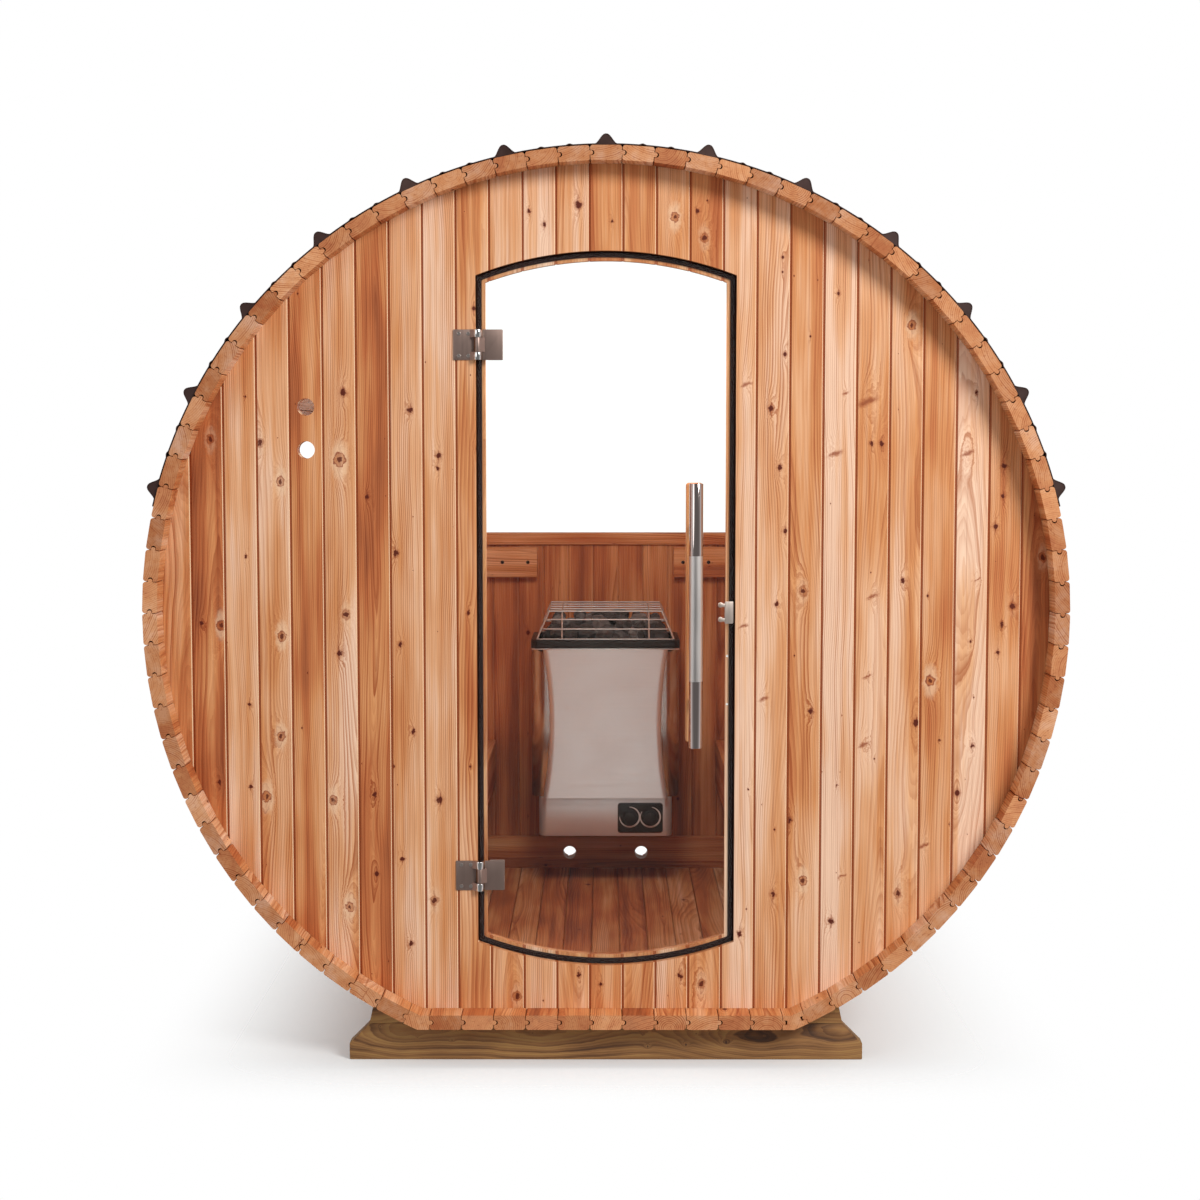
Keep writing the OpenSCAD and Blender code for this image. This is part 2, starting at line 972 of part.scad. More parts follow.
// A heap that stays clear of the guard's wires
module heater_stones() {
  w = heater_w - 2 * (rim_w + stone_in + 0.6 * guard_lean);
  y0 = front_y1 + rim_w + stone_in;
  y1 = heater_back - rim_w - stone_in;
  foot = rim_v + rest_gap;
  front_h = guard_front - wire_d - stone_in / 2;
  back_h = guard_back - wire_d - stone_in;
  color("#4b4a49")
    translate([w / 2, 0, axis_z])
      rotate([90, 0, -90])
        linear_extrude(height = w)
          polygon([[-y0, foot], [-y0, stone_v + front_h / 4], [-y0 - guard_slope, stone_v + front_h],
                   [guard_slope / 2 - y1, stone_v + back_h], [-y1, stone_v + back_h / 2], [-y1, foot]]);
}

// A wire between two points
module wire(p, q) {
  d = q - p;
  l = norm(d);
  translate(p)
    rotate([0, acos(d[2] / l), atan2(d[1], d[0])])
      translate([0, 0, -wire_d / 4])
        cylinder(d = wire_d, h = l + wire_d / 2, $fn = 8);
}

module heater_guard() {
  y0 = front_y1 + guard_in;
  y1 = heater_back - guard_in;
  x0 = heater_w / 2 - guard_side;
  x1 = x0 - guard_lean;
  y2 = y0 + guard_slope;
  y3 = y1 - guard_slope / 3;
  hf = guard_front;
  hb = guard_back;
  xm = 0.77 * x1;
  module loop(f) {
    xf = x0 + (x1 - x0) * f;
    ya = y0 + (y2 - y0) * f;
    yb = y1 + (y3 - y1) * f;
    za = hf * f;
    zb = hb * f;
    wire([-xf, ya, za], [xf, ya, za]);
    wire([-xf, yb, zb], [xf, yb, zb]);
    mirrored()
      wire([xf, ya, za], [xf, yb, zb]);
  }
  color("#8d8b87")
    translate([0, 0, axis_z + stone_v + wire_d / 2]) {
      for (f = [0, 0.36, 0.7, 1])
        loop(f);
      for (f = [1 / 4, 1 / 2, 3 / 4])
        wire([-x1, y2 + (y3 - y2) * f, hf + (hb - hf) * f], [x1, y2 + (y3 - y2) * f, hf + (hb - hf) * f]);
      mirrored() {
        wire([x0, y0, 0], [x1, y2, hf]);
        wire([x0, y1, 0], [x1, y3, hb]);
        wire([xm, y0, 0], [xm, y2, hf]);
        wire([xm, y2, hf], [xm, y3, hb]);
        wire([xm, y1, 0], [xm, y3, hb]);
      }
    }
}

module control_box() {
  color("#b5b2ac")
    round_box(box_w, box_y, box_v, box_h - rest_gap, box_r);
}

// A place on the panel's face at one of the two dials, looking out of it
module at_dial(s) {
  translate([dial_x + s * dial_space / 2, box_y - panel_t, axis_z + dial_v])
    rotate([90, 0, 0])
      children();
}

module control_panel() {
  color("#1f1f1f") {
    translate([panel_x1 - panel_w, box_y - panel_t, axis_z + dial_v - panel_h / 2 - 3])
      cube([panel_w, panel_t, panel_h]);
    for (s = [-1, 1])
      at_dial(s)
        translate([0, 0, -panel_t])
          cylinder(d = spindle_d, h = panel_t + spindle_h);
  }
}

module dial(s) {
  color("#141414")
    at_dial(s)
      difference() {
        translate([0, 0, dial_gap]) {
          cylinder(d = dial_d, h = 6);
          cylinder(d = dial_d - 8, h = dial_t);
        }
        cylinder(d = spindle_d + 2 * joint_gap, h = spindle_h + 0.5);
      }
}

module timer_dial() {
  dial(-1);
}

module heat_dial() {
  dial(1);
}

front_cradle();
back_cradle();
cradle_chocks();
floor_staves();
corner_staves();
left_lower_staves();
left_middle_staves();
left_upper_staves();
crown_staves();
right_upper_staves();
right_middle_staves();
right_lower_staves();
hoops();
front_wall_left();
vent_board();
front_wall_right();
front_wall_head();
front_wall_sill();
door_seal();
hinge_plates();
back_wall_left();
back_wall_right();
kick_rail();
window_sill();
window_glass();
wall_cleats();
left_bench_slats();
right_bench_slats();
bench_aprons();
bench_bearers();
heater_bracket();
heater_casing();
heater_front();
heater_rim();
heater_stones();
heater_guard();
control_box();
control_panel();
timer_dial();
heat_dial();
door_glass();
hinge_clamps();
door_handle();
inner_handle();
door_catch();
roof_left();
roof_crown();
roof_right();
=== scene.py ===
import math
import random

import bmesh
import bpy
from mathutils import Euler, Matrix, Vector


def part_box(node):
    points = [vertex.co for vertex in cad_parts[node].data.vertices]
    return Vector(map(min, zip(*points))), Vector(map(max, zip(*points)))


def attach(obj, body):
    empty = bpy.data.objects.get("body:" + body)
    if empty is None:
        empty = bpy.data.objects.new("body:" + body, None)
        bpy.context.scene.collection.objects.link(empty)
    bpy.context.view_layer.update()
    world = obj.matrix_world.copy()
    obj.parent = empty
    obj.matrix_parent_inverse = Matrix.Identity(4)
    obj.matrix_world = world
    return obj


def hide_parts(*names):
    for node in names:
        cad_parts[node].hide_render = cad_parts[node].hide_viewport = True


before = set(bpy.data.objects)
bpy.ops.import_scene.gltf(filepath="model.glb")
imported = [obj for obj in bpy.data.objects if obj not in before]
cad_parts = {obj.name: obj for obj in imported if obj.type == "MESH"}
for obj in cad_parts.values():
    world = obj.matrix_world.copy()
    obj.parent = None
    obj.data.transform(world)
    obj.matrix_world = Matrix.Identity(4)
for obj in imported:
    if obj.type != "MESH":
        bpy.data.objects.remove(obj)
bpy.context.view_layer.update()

# Cradles: a pressure-treated pine beam under each end of the barrel, rough sawn and cut off at
# its top corners. The barrel's flat floor rests on it, between chocks that are screwed down.
corner_cut = 0.048
saw_ease = 0.003
sharp_angle = 0.5
knot_count = 6
figure_words = ("Ring", "Streak", "Fibre", "Pitch", "Heart", "Disc", "Mark", "Pale")


def hold(piece):
    """Makes a piece the one that the next operators work on."""
    bpy.ops.object.select_all(action="DESELECT")
    piece.select_set(True)
    bpy.context.view_layer.objects.active = piece


def made(name):
    """The piece that an operator has just made, named and set down as it lies."""
    bpy.ops.object.transform_apply(location=True, rotation=True, scale=True)
    piece = bpy.context.object
    piece.name = piece.data.name = name
    return piece


def block(name, low, high):
    """A squared block of timber or metal between two corners."""
    bpy.ops.object.select_all(action="DESELECT")
    bpy.ops.mesh.primitive_cube_add(size=1, location=[(a + b) / 2 for a, b in zip(low, high)],
                                    scale=[b - a for a, b in zip(low, high)])
    return made(name)


def pick(piece, kind, choose):
    """Opens a piece for editing, with those edges or faces picked that choose agrees to."""
    hold(piece)
    bpy.ops.object.mode_set(mode="EDIT")
    bpy.ops.mesh.select_mode(type=kind)
    bpy.ops.mesh.select_all(action="DESELECT")
    mesh = bmesh.from_edit_mesh(piece.data)
    for part in mesh.edges if kind == "EDGE" else mesh.faces:
        if choose(part):
            part.select_set(True)
    bmesh.update_edit_mesh(piece.data)


def ease(piece, width, segments=2, choose=None):
    """Bevels the sharp edges, or those of them whose two ends choose agrees to."""
    def sharp(edge):
        if len(edge.link_faces) != 2 or edge.calc_face_angle(0) <= sharp_angle:
            return False
        return choose is None or choose(edge.verts[0].co, edge.verts[1].co)
    pick(piece, "EDGE", sharp)
    bpy.ops.mesh.bevel(offset=width, segments=segments, affect="EDGES", clamp_overlap=True)
    bpy.ops.object.mode_set(mode="OBJECT")
    return piece


def rounded(piece, angle=0.6):
    """Shades smooth across eased edges and keeps real corners sharp."""
    hold(piece)
    bpy.ops.object.shade_smooth_by_angle(angle=angle)
    return piece


def note(piece, word, kind, value):
    """Writes one value on all faces of a piece, for its material to read."""
    layer = piece.data.attributes.new(word, kind, "FACE")
    count = len(piece.data.polygons)
    if kind == "FLOAT":
        layer.data.foreach_set("value", [value] * count)
    else:
        layer.data.foreach_set("vector", list(value) * count)


def board_notes(piece, number, tone, middle):
    """What a board's grain needs: which board it is, how red it is and where its middle lies."""
    note(piece, "board", "FLOAT", number)
    note(piece, "tone", "FLOAT", tone)
    note(piece, "middle", "FLOAT_VECTOR", middle)
    return piece


def dress(piece, material):
    """Gives a piece, or a CAD node, one finish."""
    piece.data.materials.clear()
    piece.data.materials.append(material)
    for face in piece.data.polygons:
        face.material_index = 0


def settle(piece, node, body="cabin"):
    """Sets a piece on its body, in place of its node where it has one."""
    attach(piece, body)
    if node:
        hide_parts(node)


def tint(code):
    """A colour as written for a screen, as linear light."""
    parts = [int(code[i:i + 2], 16) / 255 for i in (1, 3, 5)]
    return [*(c / 12.92 if c <= 0.04045 else ((c + 0.055) / 1.055) ** 2.4 for c in parts), 1]


class Value:
    """A number, colour or vector in a finish's node tree, to reckon with like a plain number."""

    def __init__(self, socket):
        self.socket, self.tree = socket, socket.id_data

    def __add__(self, other):
        return calc("ADD", self, other)

    def __sub__(self, other):
        return calc("SUBTRACT", self, other)

    def __rsub__(self, other):
        return calc("SUBTRACT", other, self)

    def __mul__(self, other):
        return calc("MULTIPLY", self, other)

    def __truediv__(self, other):
        return calc("DIVIDE", self, other)

    def __abs__(self):
        return calc("ABSOLUTE", self)


def feed(socket, value):
    """Links a socket to a value of its tree, or sets a plain number or colour on it."""
    if isinstance(value, Value):
        value.tree.links.new(value.socket, socket)
    else:
        socket.default_value = value


def tree_of(values):
    return next(value.tree for value in values if isinstance(value, Value))


def add_node(kind, *values, **settings):
    """A node in the tree of the values that feed it, in the order of its sockets."""
    node = tree_of(values).nodes.new("ShaderNode" + kind)
    for word, setting in settings.items():
        setattr(node, word, setting)
    for socket, value in zip(node.inputs, values):
        feed(socket, value)
    return node


def calc(operation, *values, clamp=False):
    return Value(add_node("Math", *values, operation=operation, use_clamp=clamp).outputs[0])


def root(value):
    return calc("SQRT", value)


def largest(first, second):
    return calc("MAXIMUM", first, second)


def smooth(value, start, end, low=0.0, high=1.0):
    """Runs softly from low to high while value runs from start to end."""
    node = add_node("MapRange", value, start, end, low, high, interpolation_type="SMOOTHSTEP")
    return Value(node.outputs[0])


def split(vector):
    return [Value(socket) for socket in add_node("SeparateXYZ", vector).outputs]


def combine(x, y, z):
    return Value(add_node("CombineXYZ", x, y, z).outputs[0])


def chance(seed):
    """Three numbers between 0 and 1 that a seed always gives alike."""
    node = add_node("TexWhiteNoise", (0, 0, 0), seed, noise_dimensions="1D")
    return split(Value(node.outputs["Color"]))


def cloud(vector, scale=(1, 1, 1), detail=2.0, roughness=0.5):
    """Soft noise, stretched by a scale for each direction."""
    stretch = Value(add_node("VectorMath", vector, scale, operation="MULTIPLY").outputs[0])
    node = add_node("TexNoise", stretch)
    for word, value in (("Scale", 1), ("Detail", detail), ("Roughness", roughness)):
        feed(node.inputs[word], value)
    return Value(node.outputs["Fac"])


def mix(factor, first, second, mode="MIX"):
    node = tree_of((factor, first, second)).nodes.new("ShaderNodeMix")
    node.data_type, node.blend_type = "RGBA", mode
    for place, value in zip((0, 6, 7), (factor, first, second)):
        feed(node.inputs[place], value)
    return Value(node.outputs[2])


def ramp(value, *stops):
    """Colours between the stops, given as (place, colour)."""
    node = add_node("ValToRGB", value)
    band = node.color_ramp.elements
    while len(band) < len(stops):
        band.new(0.5)
    for element, (place, colour) in zip(band, stops):
        element.position, element.color = place, tint(colour)
    return Value(node.outputs[0])


def effect(name, inputs, outputs):
    """A node group for an effect that more than one finish uses, with its inputs and outputs."""
    tree = bpy.data.node_groups.new(name, "ShaderNodeTree")
    for direction, sockets in (("INPUT", inputs), ("OUTPUT", outputs)):
        for word, kind in sockets.items():
            tree.interface.new_socket(word, in_out=direction, socket_type="NodeSocket" + kind)
    source = tree.nodes.new("NodeGroupInput").outputs
    return tree, {word: Value(source[word]) for word in inputs}, tree.nodes.new("NodeGroupOutput").inputs


def use(group, **values):
    """Places an effect in a finish with its own values, and gives what it puts out."""
    node = tree_of(values.values()).nodes.new("ShaderNodeGroup")
    node.node_tree = group
    for word, value in values.items():
        feed(node.inputs[word], value)
    return {socket.name: Value(socket) for socket in node.outputs}


def floats(*words):
    return {word: "Float" for word in words}


def finish(name):
    """A new finish, with its node tree and its main shader."""
    material = bpy.data.materials.new(name)
    material.use_nodes = True
    return material, material.node_tree, material.node_tree.nodes["Principled BSDF"]


def coat(shader, colour, rough, height, strength, depth):
    """Feeds a finish's main shader with its colour, its gloss and its relief."""
    bump = shader.id_data.nodes.new("ShaderNodeBump")
    for word, value in (("Strength", strength), ("Distance", depth), ("Height", height)):
        feed(bump.inputs[word], value)
    for word, value in (("Base Color", colour), ("Roughness", rough), ("Normal", Value(bump.outputs[0]))):
        feed(shader.inputs[word], value)


def coordinates(tree, output="Object"):
    return Value(tree.nodes.new("ShaderNodeTexCoord").outputs[output])


def attribute(tree, word, output="Fac"):
    node = tree.nodes.new("ShaderNodeAttribute")
    node.attribute_name = word
    return Value(node.outputs[output])


def knot_effect():
    """One knot: a dark heart, in a brown ringed disc with a pale teardrop round it where it is
    large, a tail along the grain, and how it pushes the grain aside. A radius below zero is a
    branch that was sawn along its length and lies across the board as a spike."""
    tree, source, result = effect("knot", floats("Across", "Along", "Radius"),
                                  floats("Heart", "Disc", "Mark", "Pale", "Push"))
    radius = largest(abs(source["Radius"]), 0.00001)
    across, along = source["Across"] / radius, source["Along"] / radius
    side = across * across
    spiked = calc("LESS_THAN", source["Radius"], 0)
    upright = 1 - spiked
    large = smooth(source["Radius"], 0.0078, 0.0092)

    def squared(squeeze):
        part = along * squeeze
        return part * part + side

    def by_size(small, change):
        return large * change + small

    def streak(over, reach, way, length, share):
        return smooth(abs(over), reach, 0.0, 0, share) * smooth(abs(way), length, 0.7)
    out = root(squared(0.8))
    heart = smooth(out / by_size(1, -0.48), 1.0, 0.66) * by_size(1, -0.1)
    disc = smooth(out, by_size(1.85, -0.75), 0.8) * upright
    band = smooth(abs(out - 1), 0.19, 0.03) * large
    tail = largest(streak(across, 0.4, along, 5.5, 0.8), streak(along, 0.3, across, 2.4, 0.4))
    tail = tail * (by_size(1, -0.6) * upright)
    slope = across * -0.35 + along
    spike = streak(slope, 0.55, across, 2.4, 0.5) * spiked
    wide = across * 0.42
    halo = smooth(root(wide * wide + slope * slope), 1.25, 0.35, 0, 0.95) * spiked
    pale = smooth(root(squared(0.42)), 2.0, 1.0)
    fall = squared(0.3) * 0.3 + 1
    feed(result["Heart"], heart * upright)
    feed(result["Disc"], disc * by_size(0.6, -0.12) + halo)
    feed(result["Mark"], largest(band, largest(tail, spike)))
    feed(result["Pale"], calc("SUBTRACT", pale, disc, clamp=True) * large)
    feed(result["Push"], radius * 2.2 / (fall * fall))
    return tree


knot = knot_effect()


def timber_effect():
    """Growth rings round a heart that wanders through the log, with knots, streaks and fibres.
    Place is across the board, into it and along it, in metres from the board's middle."""
    words = {"Place": "Vector", **floats("Board", "Ring_width", "Knotty"),
             **{f"Knot_{i}": "Vector" for i in range(knot_count)}}
    tree, source, result = effect("timber", words, floats(*figure_words, "Height"))
    x, depth, z = split(source["Place"])
    board = source["Board"]
    a, b, c = chance(board)
    d, e, _ = chance(board + 31.7)
    run = a * 40 + z
    place = combine(e * 9 + x, depth, run)

    # The log's heart, off to one side of the board and behind its face
    wander = cloud(combine(board, 0, run), (13.7, 1, 0.9))
    sway = cloud(combine(board, 9, run), (5.3, 1, 0.7))
    off = x - (b * 0.24 - 0.12 + (wander * 0.09 - 0.045))
    deep = depth + (c * c * 0.12 + 0.015 + (sway * 0.09 - 0.045)) + (d * 0.05 - 0.025) * z
    reach = cloud(place, (26, 26, 4), 3) * 0.006 + root(off * off + deep * deep)

    # Knots: those that a board may name, and two sizes scattered at random
    spots = []
    wobble = x + (cloud(place, (95, 95, 60), 4, 0.65) * 0.020 - 0.010)
    kink = z + (cloud(place, (60, 60, 95), 4, 0.65) * 0.020 - 0.010)
    for i in range(knot_count):
        knot_x, knot_z, size = split(source[f"Knot_{i}"])
        spots.append((wobble - knot_x, kink - knot_z, size))
    for wide, tall, least, most, share in ((13, 4.6, 0.0014, 0.0062, 1.0), (24, 8, 0.0009, 0.0016, 0.7)):
        sheet = combine(x * wide + board * 7.3, run * tall, 0)
        cells = add_node("TexVoronoi", sheet, voronoi_dimensions="2D")
        cells.inputs["Scale"].default_value = 1
        gap = add_node("VectorMath", sheet, Value(cells.outputs["Position"]), operation="SUBTRACT")
        gap_x, gap_z, _ = split(Value(gap.outputs[0]))
        one, two, _ = split(Value(cells.outputs["Color"]))
        there = calc("LESS_THAN", two, source["Knotty"] * share)
        spots.append((gap_x / wide, gap_z / tall, (calc("POWER", one, 4) * most + least) * there))
    found = [use(knot, Across=across, Along=along, Radius=size) for across, along, size in spots]
    knots = found[0]
    for one in found[1:]:
        knots = {word: knots[word] + one[word] if word == "Push" else largest(knots[word], one[word])
                 for word in knots}

    # Late wood is the dark line that ends each year's ring
    year = (reach - knots["Push"]) / source["Ring_width"]
    part = calc("FRACT", year)
    weight = chance(board * 3.1 + calc("FLOOR", year))[0]
    line = smooth(part, 0.15, 0.9) * smooth(part, 1.0, 0.92)
    patch = smooth(cloud(place, (9, 9, 1.3), 2), 0.3, 0.7, 0.35, 1.0)
    late = line * patch * (weight * 0.8 + 0.2)
    thin = smooth(calc("FRACT", year * 3.3), 0.2, 1.0, 0, 0.25)
    streak = cloud(place, (11, 11, 2.4), 2) * 0.45 + cloud(place, (30, 30, 0.7), 4, 0.65) * 0.55
    fibre = cloud(place, (600, 600, 11), 2)
    figure = {**knots, "Ring": calc("ADD", late, thin, clamp=True), "Streak": smooth(streak, 0.34, 0.66),
              "Fibre": fibre, "Pitch": smooth(cloud(place, (190, 190, 1.4), 3), 0.56, 0.72)}
    for word in figure_words:
        feed(result[word], figure[word])
    feed(result["Height"], knots["Heart"] * 0.6 + (late * -0.5 + fibre * 0.5))
    return tree


timber = timber_effect()


def board_place(tree, order):
    """A board's own coordinates: across, into and along it, picked from X, Y and Z by their order."""
    middle = attribute(tree, "middle", "Vector")
    parts = split(Value(add_node("VectorMath", coordinates(tree), middle, operation="SUBTRACT").outputs[0]))
    return combine(*(parts["XYZ".index(axis)] for axis in order))


def end_mask(tree, axis):
    """1 on the sawn ends of a board that runs along an axis."""
    return smooth(abs(split(coordinates(tree, "Normal"))["XYZ".index(axis)]), 0.6, 0.9)


def treated_pine(name, lay):
    """Pressure-treated pine, rough sawn. lay gives a beam's place from the tree."""
    material, tree, shader = finish(name)
    figure = use(timber, Place=lay(tree), Board=attribute(tree, "board"), Knotty=0.2, Ring_width=0.008)
    colour = ramp(figure["Streak"] * 0.35 + figure["Ring"] * 0.85,
                  (0.0, "#a37b45"), (0.35, "#895f34"), (0.7, "#5f3c1c"), (1.0, "#3f2612"))
    colour = mix(figure["Mark"] * 0.6, colour, tint("#4f3018"))
    colour = mix(figure["Heart"], colour, tint("#3f2616"))
    colour = mix(end_mask(tree, "X") * 0.6, colour, tint("#7d6a3c"))
    coat(shader, colour, smooth(figure["Fibre"], 0.2, 0.8, 0.6, 0.85), figure["Height"], 0.5, 0.0012)
    return material


def beam_lay(tree):
    across, depth, along = split(board_place(tree, "ZYX"))
    return combine(across, depth, along * 2.4)


pine = treated_pine("treated pine", beam_lay)
for number, name in enumerate(("front_cradle", "back_cradle")):
    low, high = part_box(name)
    beam = block(name + "_beam", low, high)
    ease(beam, corner_cut, 1, lambda p, q: min(p.z, q.z) > 0.08 and abs(p.x) > 0.5 and abs(p.x - q.x) < 0.01)
    ease(beam, saw_ease)
    board_notes(beam, 3.0 + number, 0.5, [(a + b) / 2 for a, b in zip(low, high)])
    dress(rounded(beam), pine)
    settle(beam, name)

# Staves: knotty red cedar, planed with a bead on one edge and a cove on the other, drawn up
# tight by the hoops. The floor is the same board laid flat between two that turn the corner.
axis_z = 1.06006
barrel_r = 1.067
croze_r = 1.04435
floor_z = 0.122
stave_n = 77
stave_turn = math.radians(3.99265)
stave_y = 0.9145
stave_t = 0.034
stave_face = 0.075
stave_gap = 0.0018
stave_ease = 0.002
stave_round = 0.0065
bead_r, bead_nose = 0.005, 0.008
cove_r, cove_deep = bead_r + 0.0010, bead_nose + 0.0014
wall_seat = (0.8101, 0.8489)
pane_seat = (0.8251, 0.8339)
pane_rise = 0.07
seat_deep = 0.012
stave_rng = random.Random(3)


def cut(piece, tool, operation="DIFFERENCE"):
    """Cuts a piece with a tool, and puts the tool away."""
    hold(piece)
    saw = piece.modifiers.new("saw", "BOOLEAN")
    saw.operation, saw.solver, saw.object = operation, "EXACT", tool
    bpy.ops.object.modifier_apply(modifier=saw.name)
    bpy.data.meshes.remove(tool.data)
    return piece


def join(name, pieces):
    """Makes several solids one piece."""
    hold(pieces[0])
    for piece in pieces:
        piece.select_set(True)
    if len(pieces) > 1:
        bpy.ops.object.join()
    pieces[0].name = pieces[0].data.name = name
    return pieces[0]


def copied(piece, move):
    """A copy with its own mesh, moved by a matrix."""
    twin = piece.copy()
    twin.data = piece.data.copy()
    twin.data.transform(move)
    bpy.context.scene.collection.objects.link(twin)
    return twin


def opened(piece):
    """Opens a piece for editing, with all of it picked."""
    hold(piece)
    bpy.ops.object.mode_set(mode="EDIT")
    bpy.ops.mesh.select_all(action="SELECT")


def bar(name, start, end, radius, sides):
    """A round bar between two points that lie apart along Y or Z."""
    bpy.ops.object.select_all(action="DESELECT")
    bpy.ops.mesh.primitive_cylinder_add(
        vertices=sides, radius=radius, depth=max(abs(b - a) for a, b in zip(start, end)),
        location=[(a + b) / 2 for a, b in zip(start, end)],
        rotation=(math.pi / 2 if start[1] != end[1] else 0, 0, 0))
    return made(name)


def disc_tool(radius, foot, y0, y1):
    """A round the size of an end wall, cut flat along the floor."""
    disc = bar("disc", (0, y0, axis_z), (0, y1, axis_z), radius, 360)
    opened(disc)
    bpy.ops.mesh.bisect(plane_co=(0, 0, foot), plane_no=(0, 0, 1), use_fill=True, clear_inner=True)
    bpy.ops.object.mode_set(mode="OBJECT")
    return disc


def web(name, outline, low, high):
    """An upright web with a given outline seen from above."""
    bpy.ops.object.select_all(action="DESELECT")
    bpy.ops.mesh.primitive_circle_add(vertices=len(outline), radius=1, fill_type="NGON", location=(0, 0, 0))
    piece = made(name)
    for corner, (x, y) in zip(piece.data.vertices, outline):
        corner.co = (x, y, low)
    opened(piece)
    bpy.ops.mesh.extrude_region_move(TRANSFORM_OT_translate={"value": (0, 0, high - low)})
    bpy.ops.mesh.select_all(action="SELECT")
    bpy.ops.mesh.normals_make_consistent(inside=False)
    bpy.ops.object.mode_set(mode="OBJECT")
    return piece


def span(side, near, far):
    """Two marks on one side of the middle, the lower one first."""
    return sorted((side * near, side * far))


def cedar_effect():
    """The colours of planed cedar, from pale sapwood at tone 0 to brown heart at tone 1."""
    tree, source, result = effect("cedar", floats("Tone", "End", "Shade", *figure_words),
                                  {"Color": "Color", "Roughness": "Float"})
    colour = ramp(source["Tone"] + (source["Streak"] * 0.62 - 0.31),
                  (0.0, "#f9d3b6"), (0.25, "#edb78b"), (0.5, "#dd9963"), (0.75, "#c67545"), (1.0, "#9e5734"))

    def shaded(word, share, darker):
        return mix(source[word] * share, colour, mix(1.0, colour, tint(darker), "MULTIPLY"))

    def covered(word, share, hue):
        return mix(source[word] * share, colour, hue)
    colour = covered("End", 0.6, mix(source["Shade"], tint("#94502e"), tint("#e4a677")))
    colour = shaded("Ring", 0.88, "#bb8767")
    colour = shaded("Pitch", 0.42, "#b27c5c")
    light = smooth(source["Fibre"], 0.2, 0.8, 0.92, 1.06)
    colour = mix(1.0, colour, combine(light, light, light), "MULTIPLY")
    colour = covered("Pale", 0.45, tint("#f6d4b0"))
    colour = covered("Disc", 0.75, tint("#a0502a"))
    colour = shaded("Mark", 0.8, "#9c4d2e")
    colour = covered("Heart", 0.95, tint("#561708"))
    feed(result["Color"], colour)
    feed(result["Roughness"], source["End"] * 0.2 + (source["Fibre"] * 0.25 + 0.42))
    return tree


cedar_look = cedar_effect()


def cedar_finish(name, lay, knotty, knots=0, painted_joint_light=0.0):
    """Planed cedar. lay gives a board's place, number, tone and sawn ends from the tree, and painted_joint_light
    how strong the painted light and shade at the joints are: a painted highlight on the bevel that faces right,
    and painted shade on the bevel that faces left and inside the joint."""
    material, tree, shader = finish(name)
    place, board, tone, end = lay(tree)
    named_knots = {f"Knot_{i}": attribute(tree, f"knot_{i}", "Vector") for i in range(knots)}
    figure = use(timber, Place=place, Board=board, Knotty=knotty, Ring_width=0.0045, **named_knots)
    look = use(cedar_look, Tone=tone, End=end, Shade=chance(board)[1],
               **{word: figure[word] for word in figure_words})
    colour = look["Color"]
    if painted_joint_light:
        lean = split(coordinates(tree, "Normal"))[0]
        across, depth, _ = split(place)
        # Painted highlight on the bevels that face right, towards the key lamp; painted shade on the bevels that
        # face left.
        for side, hue in ((1, "#ffdcb4"), (-1, "#a3552f")):
            bevel = smooth(lean, side * 0.4, side * 0.6, 0, painted_joint_light) * smooth(lean, side * 0.97, side * 0.85)
            colour = mix(bevel, colour, tint(hue))
        # Painted shade inside the joints: on faces 3 to 20 mm behind the wall's face, near a board's edge.
        inside = smooth(depth, 0.0027, 0.0031, 0, painted_joint_light) * smooth(depth, 0.0205, 0.0198)
        colour = mix(inside * smooth(abs(across), 0.033, 0.036), colour, tint("#a04a20"))
    coat(shader, colour, look["Roughness"], figure["Height"], 0.35, 0.0007)
    shader.inputs["Specular IOR Level"].default_value = 0.22
    return material


def round_lay(tree):
    """How a stave lies round the arc, from the angle that it stands at."""
    x, y, z = split(coordinates(tree))
    up = z - axis_z
    off = calc("ARCTAN2", x, up) - attribute(tree, "turn")
    place = combine(off * barrel_r, barrel_r - root(x * x + up * up), y)
    return place, attribute(tree, "board"), attribute(tree, "tone"), end_mask(tree, "Y")


def board_lay(order):
    """How a straight board lies, by the axes across it, into it and along it."""
    def lay(tree):
        return (board_place(tree, order), attribute(tree, "board"), attribute(tree, "tone"),
                end_mask(tree, order[2]))
    return lay


def corner_lay(tree):
    """How the two staves lie that turn the corner."""
    x, y, z = split(coordinates(tree))
    board = calc("SIGN", x) * 7 + 210
    return combine(x, floor_z - z, y), board, 0.42, end_mask(tree, "Y")


def stave_end(half, inner, outer):
    """A stave's end, rounded at its outer corners, with a bead on its right edge and a cove on its
    left. half gives half of its width at a height."""
    middle = (inner + outer) / 2
    turns = [math.radians(-90 + 22.5 * i) for i in range(9)]
    right = [(half(inner) - stave_ease, inner), (half(inner), inner + stave_ease),
             (half(middle), middle - bead_r)]
    right += [(half(middle) + bead_nose - bead_r * (1 - math.cos(turn)), middle + bead_r * math.sin(turn))
              for turn in turns]
    right.append((half(middle), middle + bead_r))
    corner = [(half(outer) - stave_round * (1 - math.cos(turn)), outer - stave_round * (1 - math.sin(turn)))
              for turn in (math.radians(18 * i) for i in range(6))]
    left = [(-half(middle), middle + cove_r)]
    left += [(cove_deep - half(middle) - cove_r * (1 - math.cos(turn)), middle + cove_r * math.sin(turn))
             for turn in reversed(turns)]
    left += [(-half(middle), middle - cove_r), (-half(inner), inner + stave_ease),
             (stave_ease - half(inner), inner)]
    return right + corner + [(-x, v) for x, v in reversed(corner)] + left


def turned(turn):
    """A turn round the barrel's axis."""
    up = Matrix.Translation((0, 0, axis_z))
    return up @ Matrix.Rotation(turn, 4, "Y") @ up.inverted()


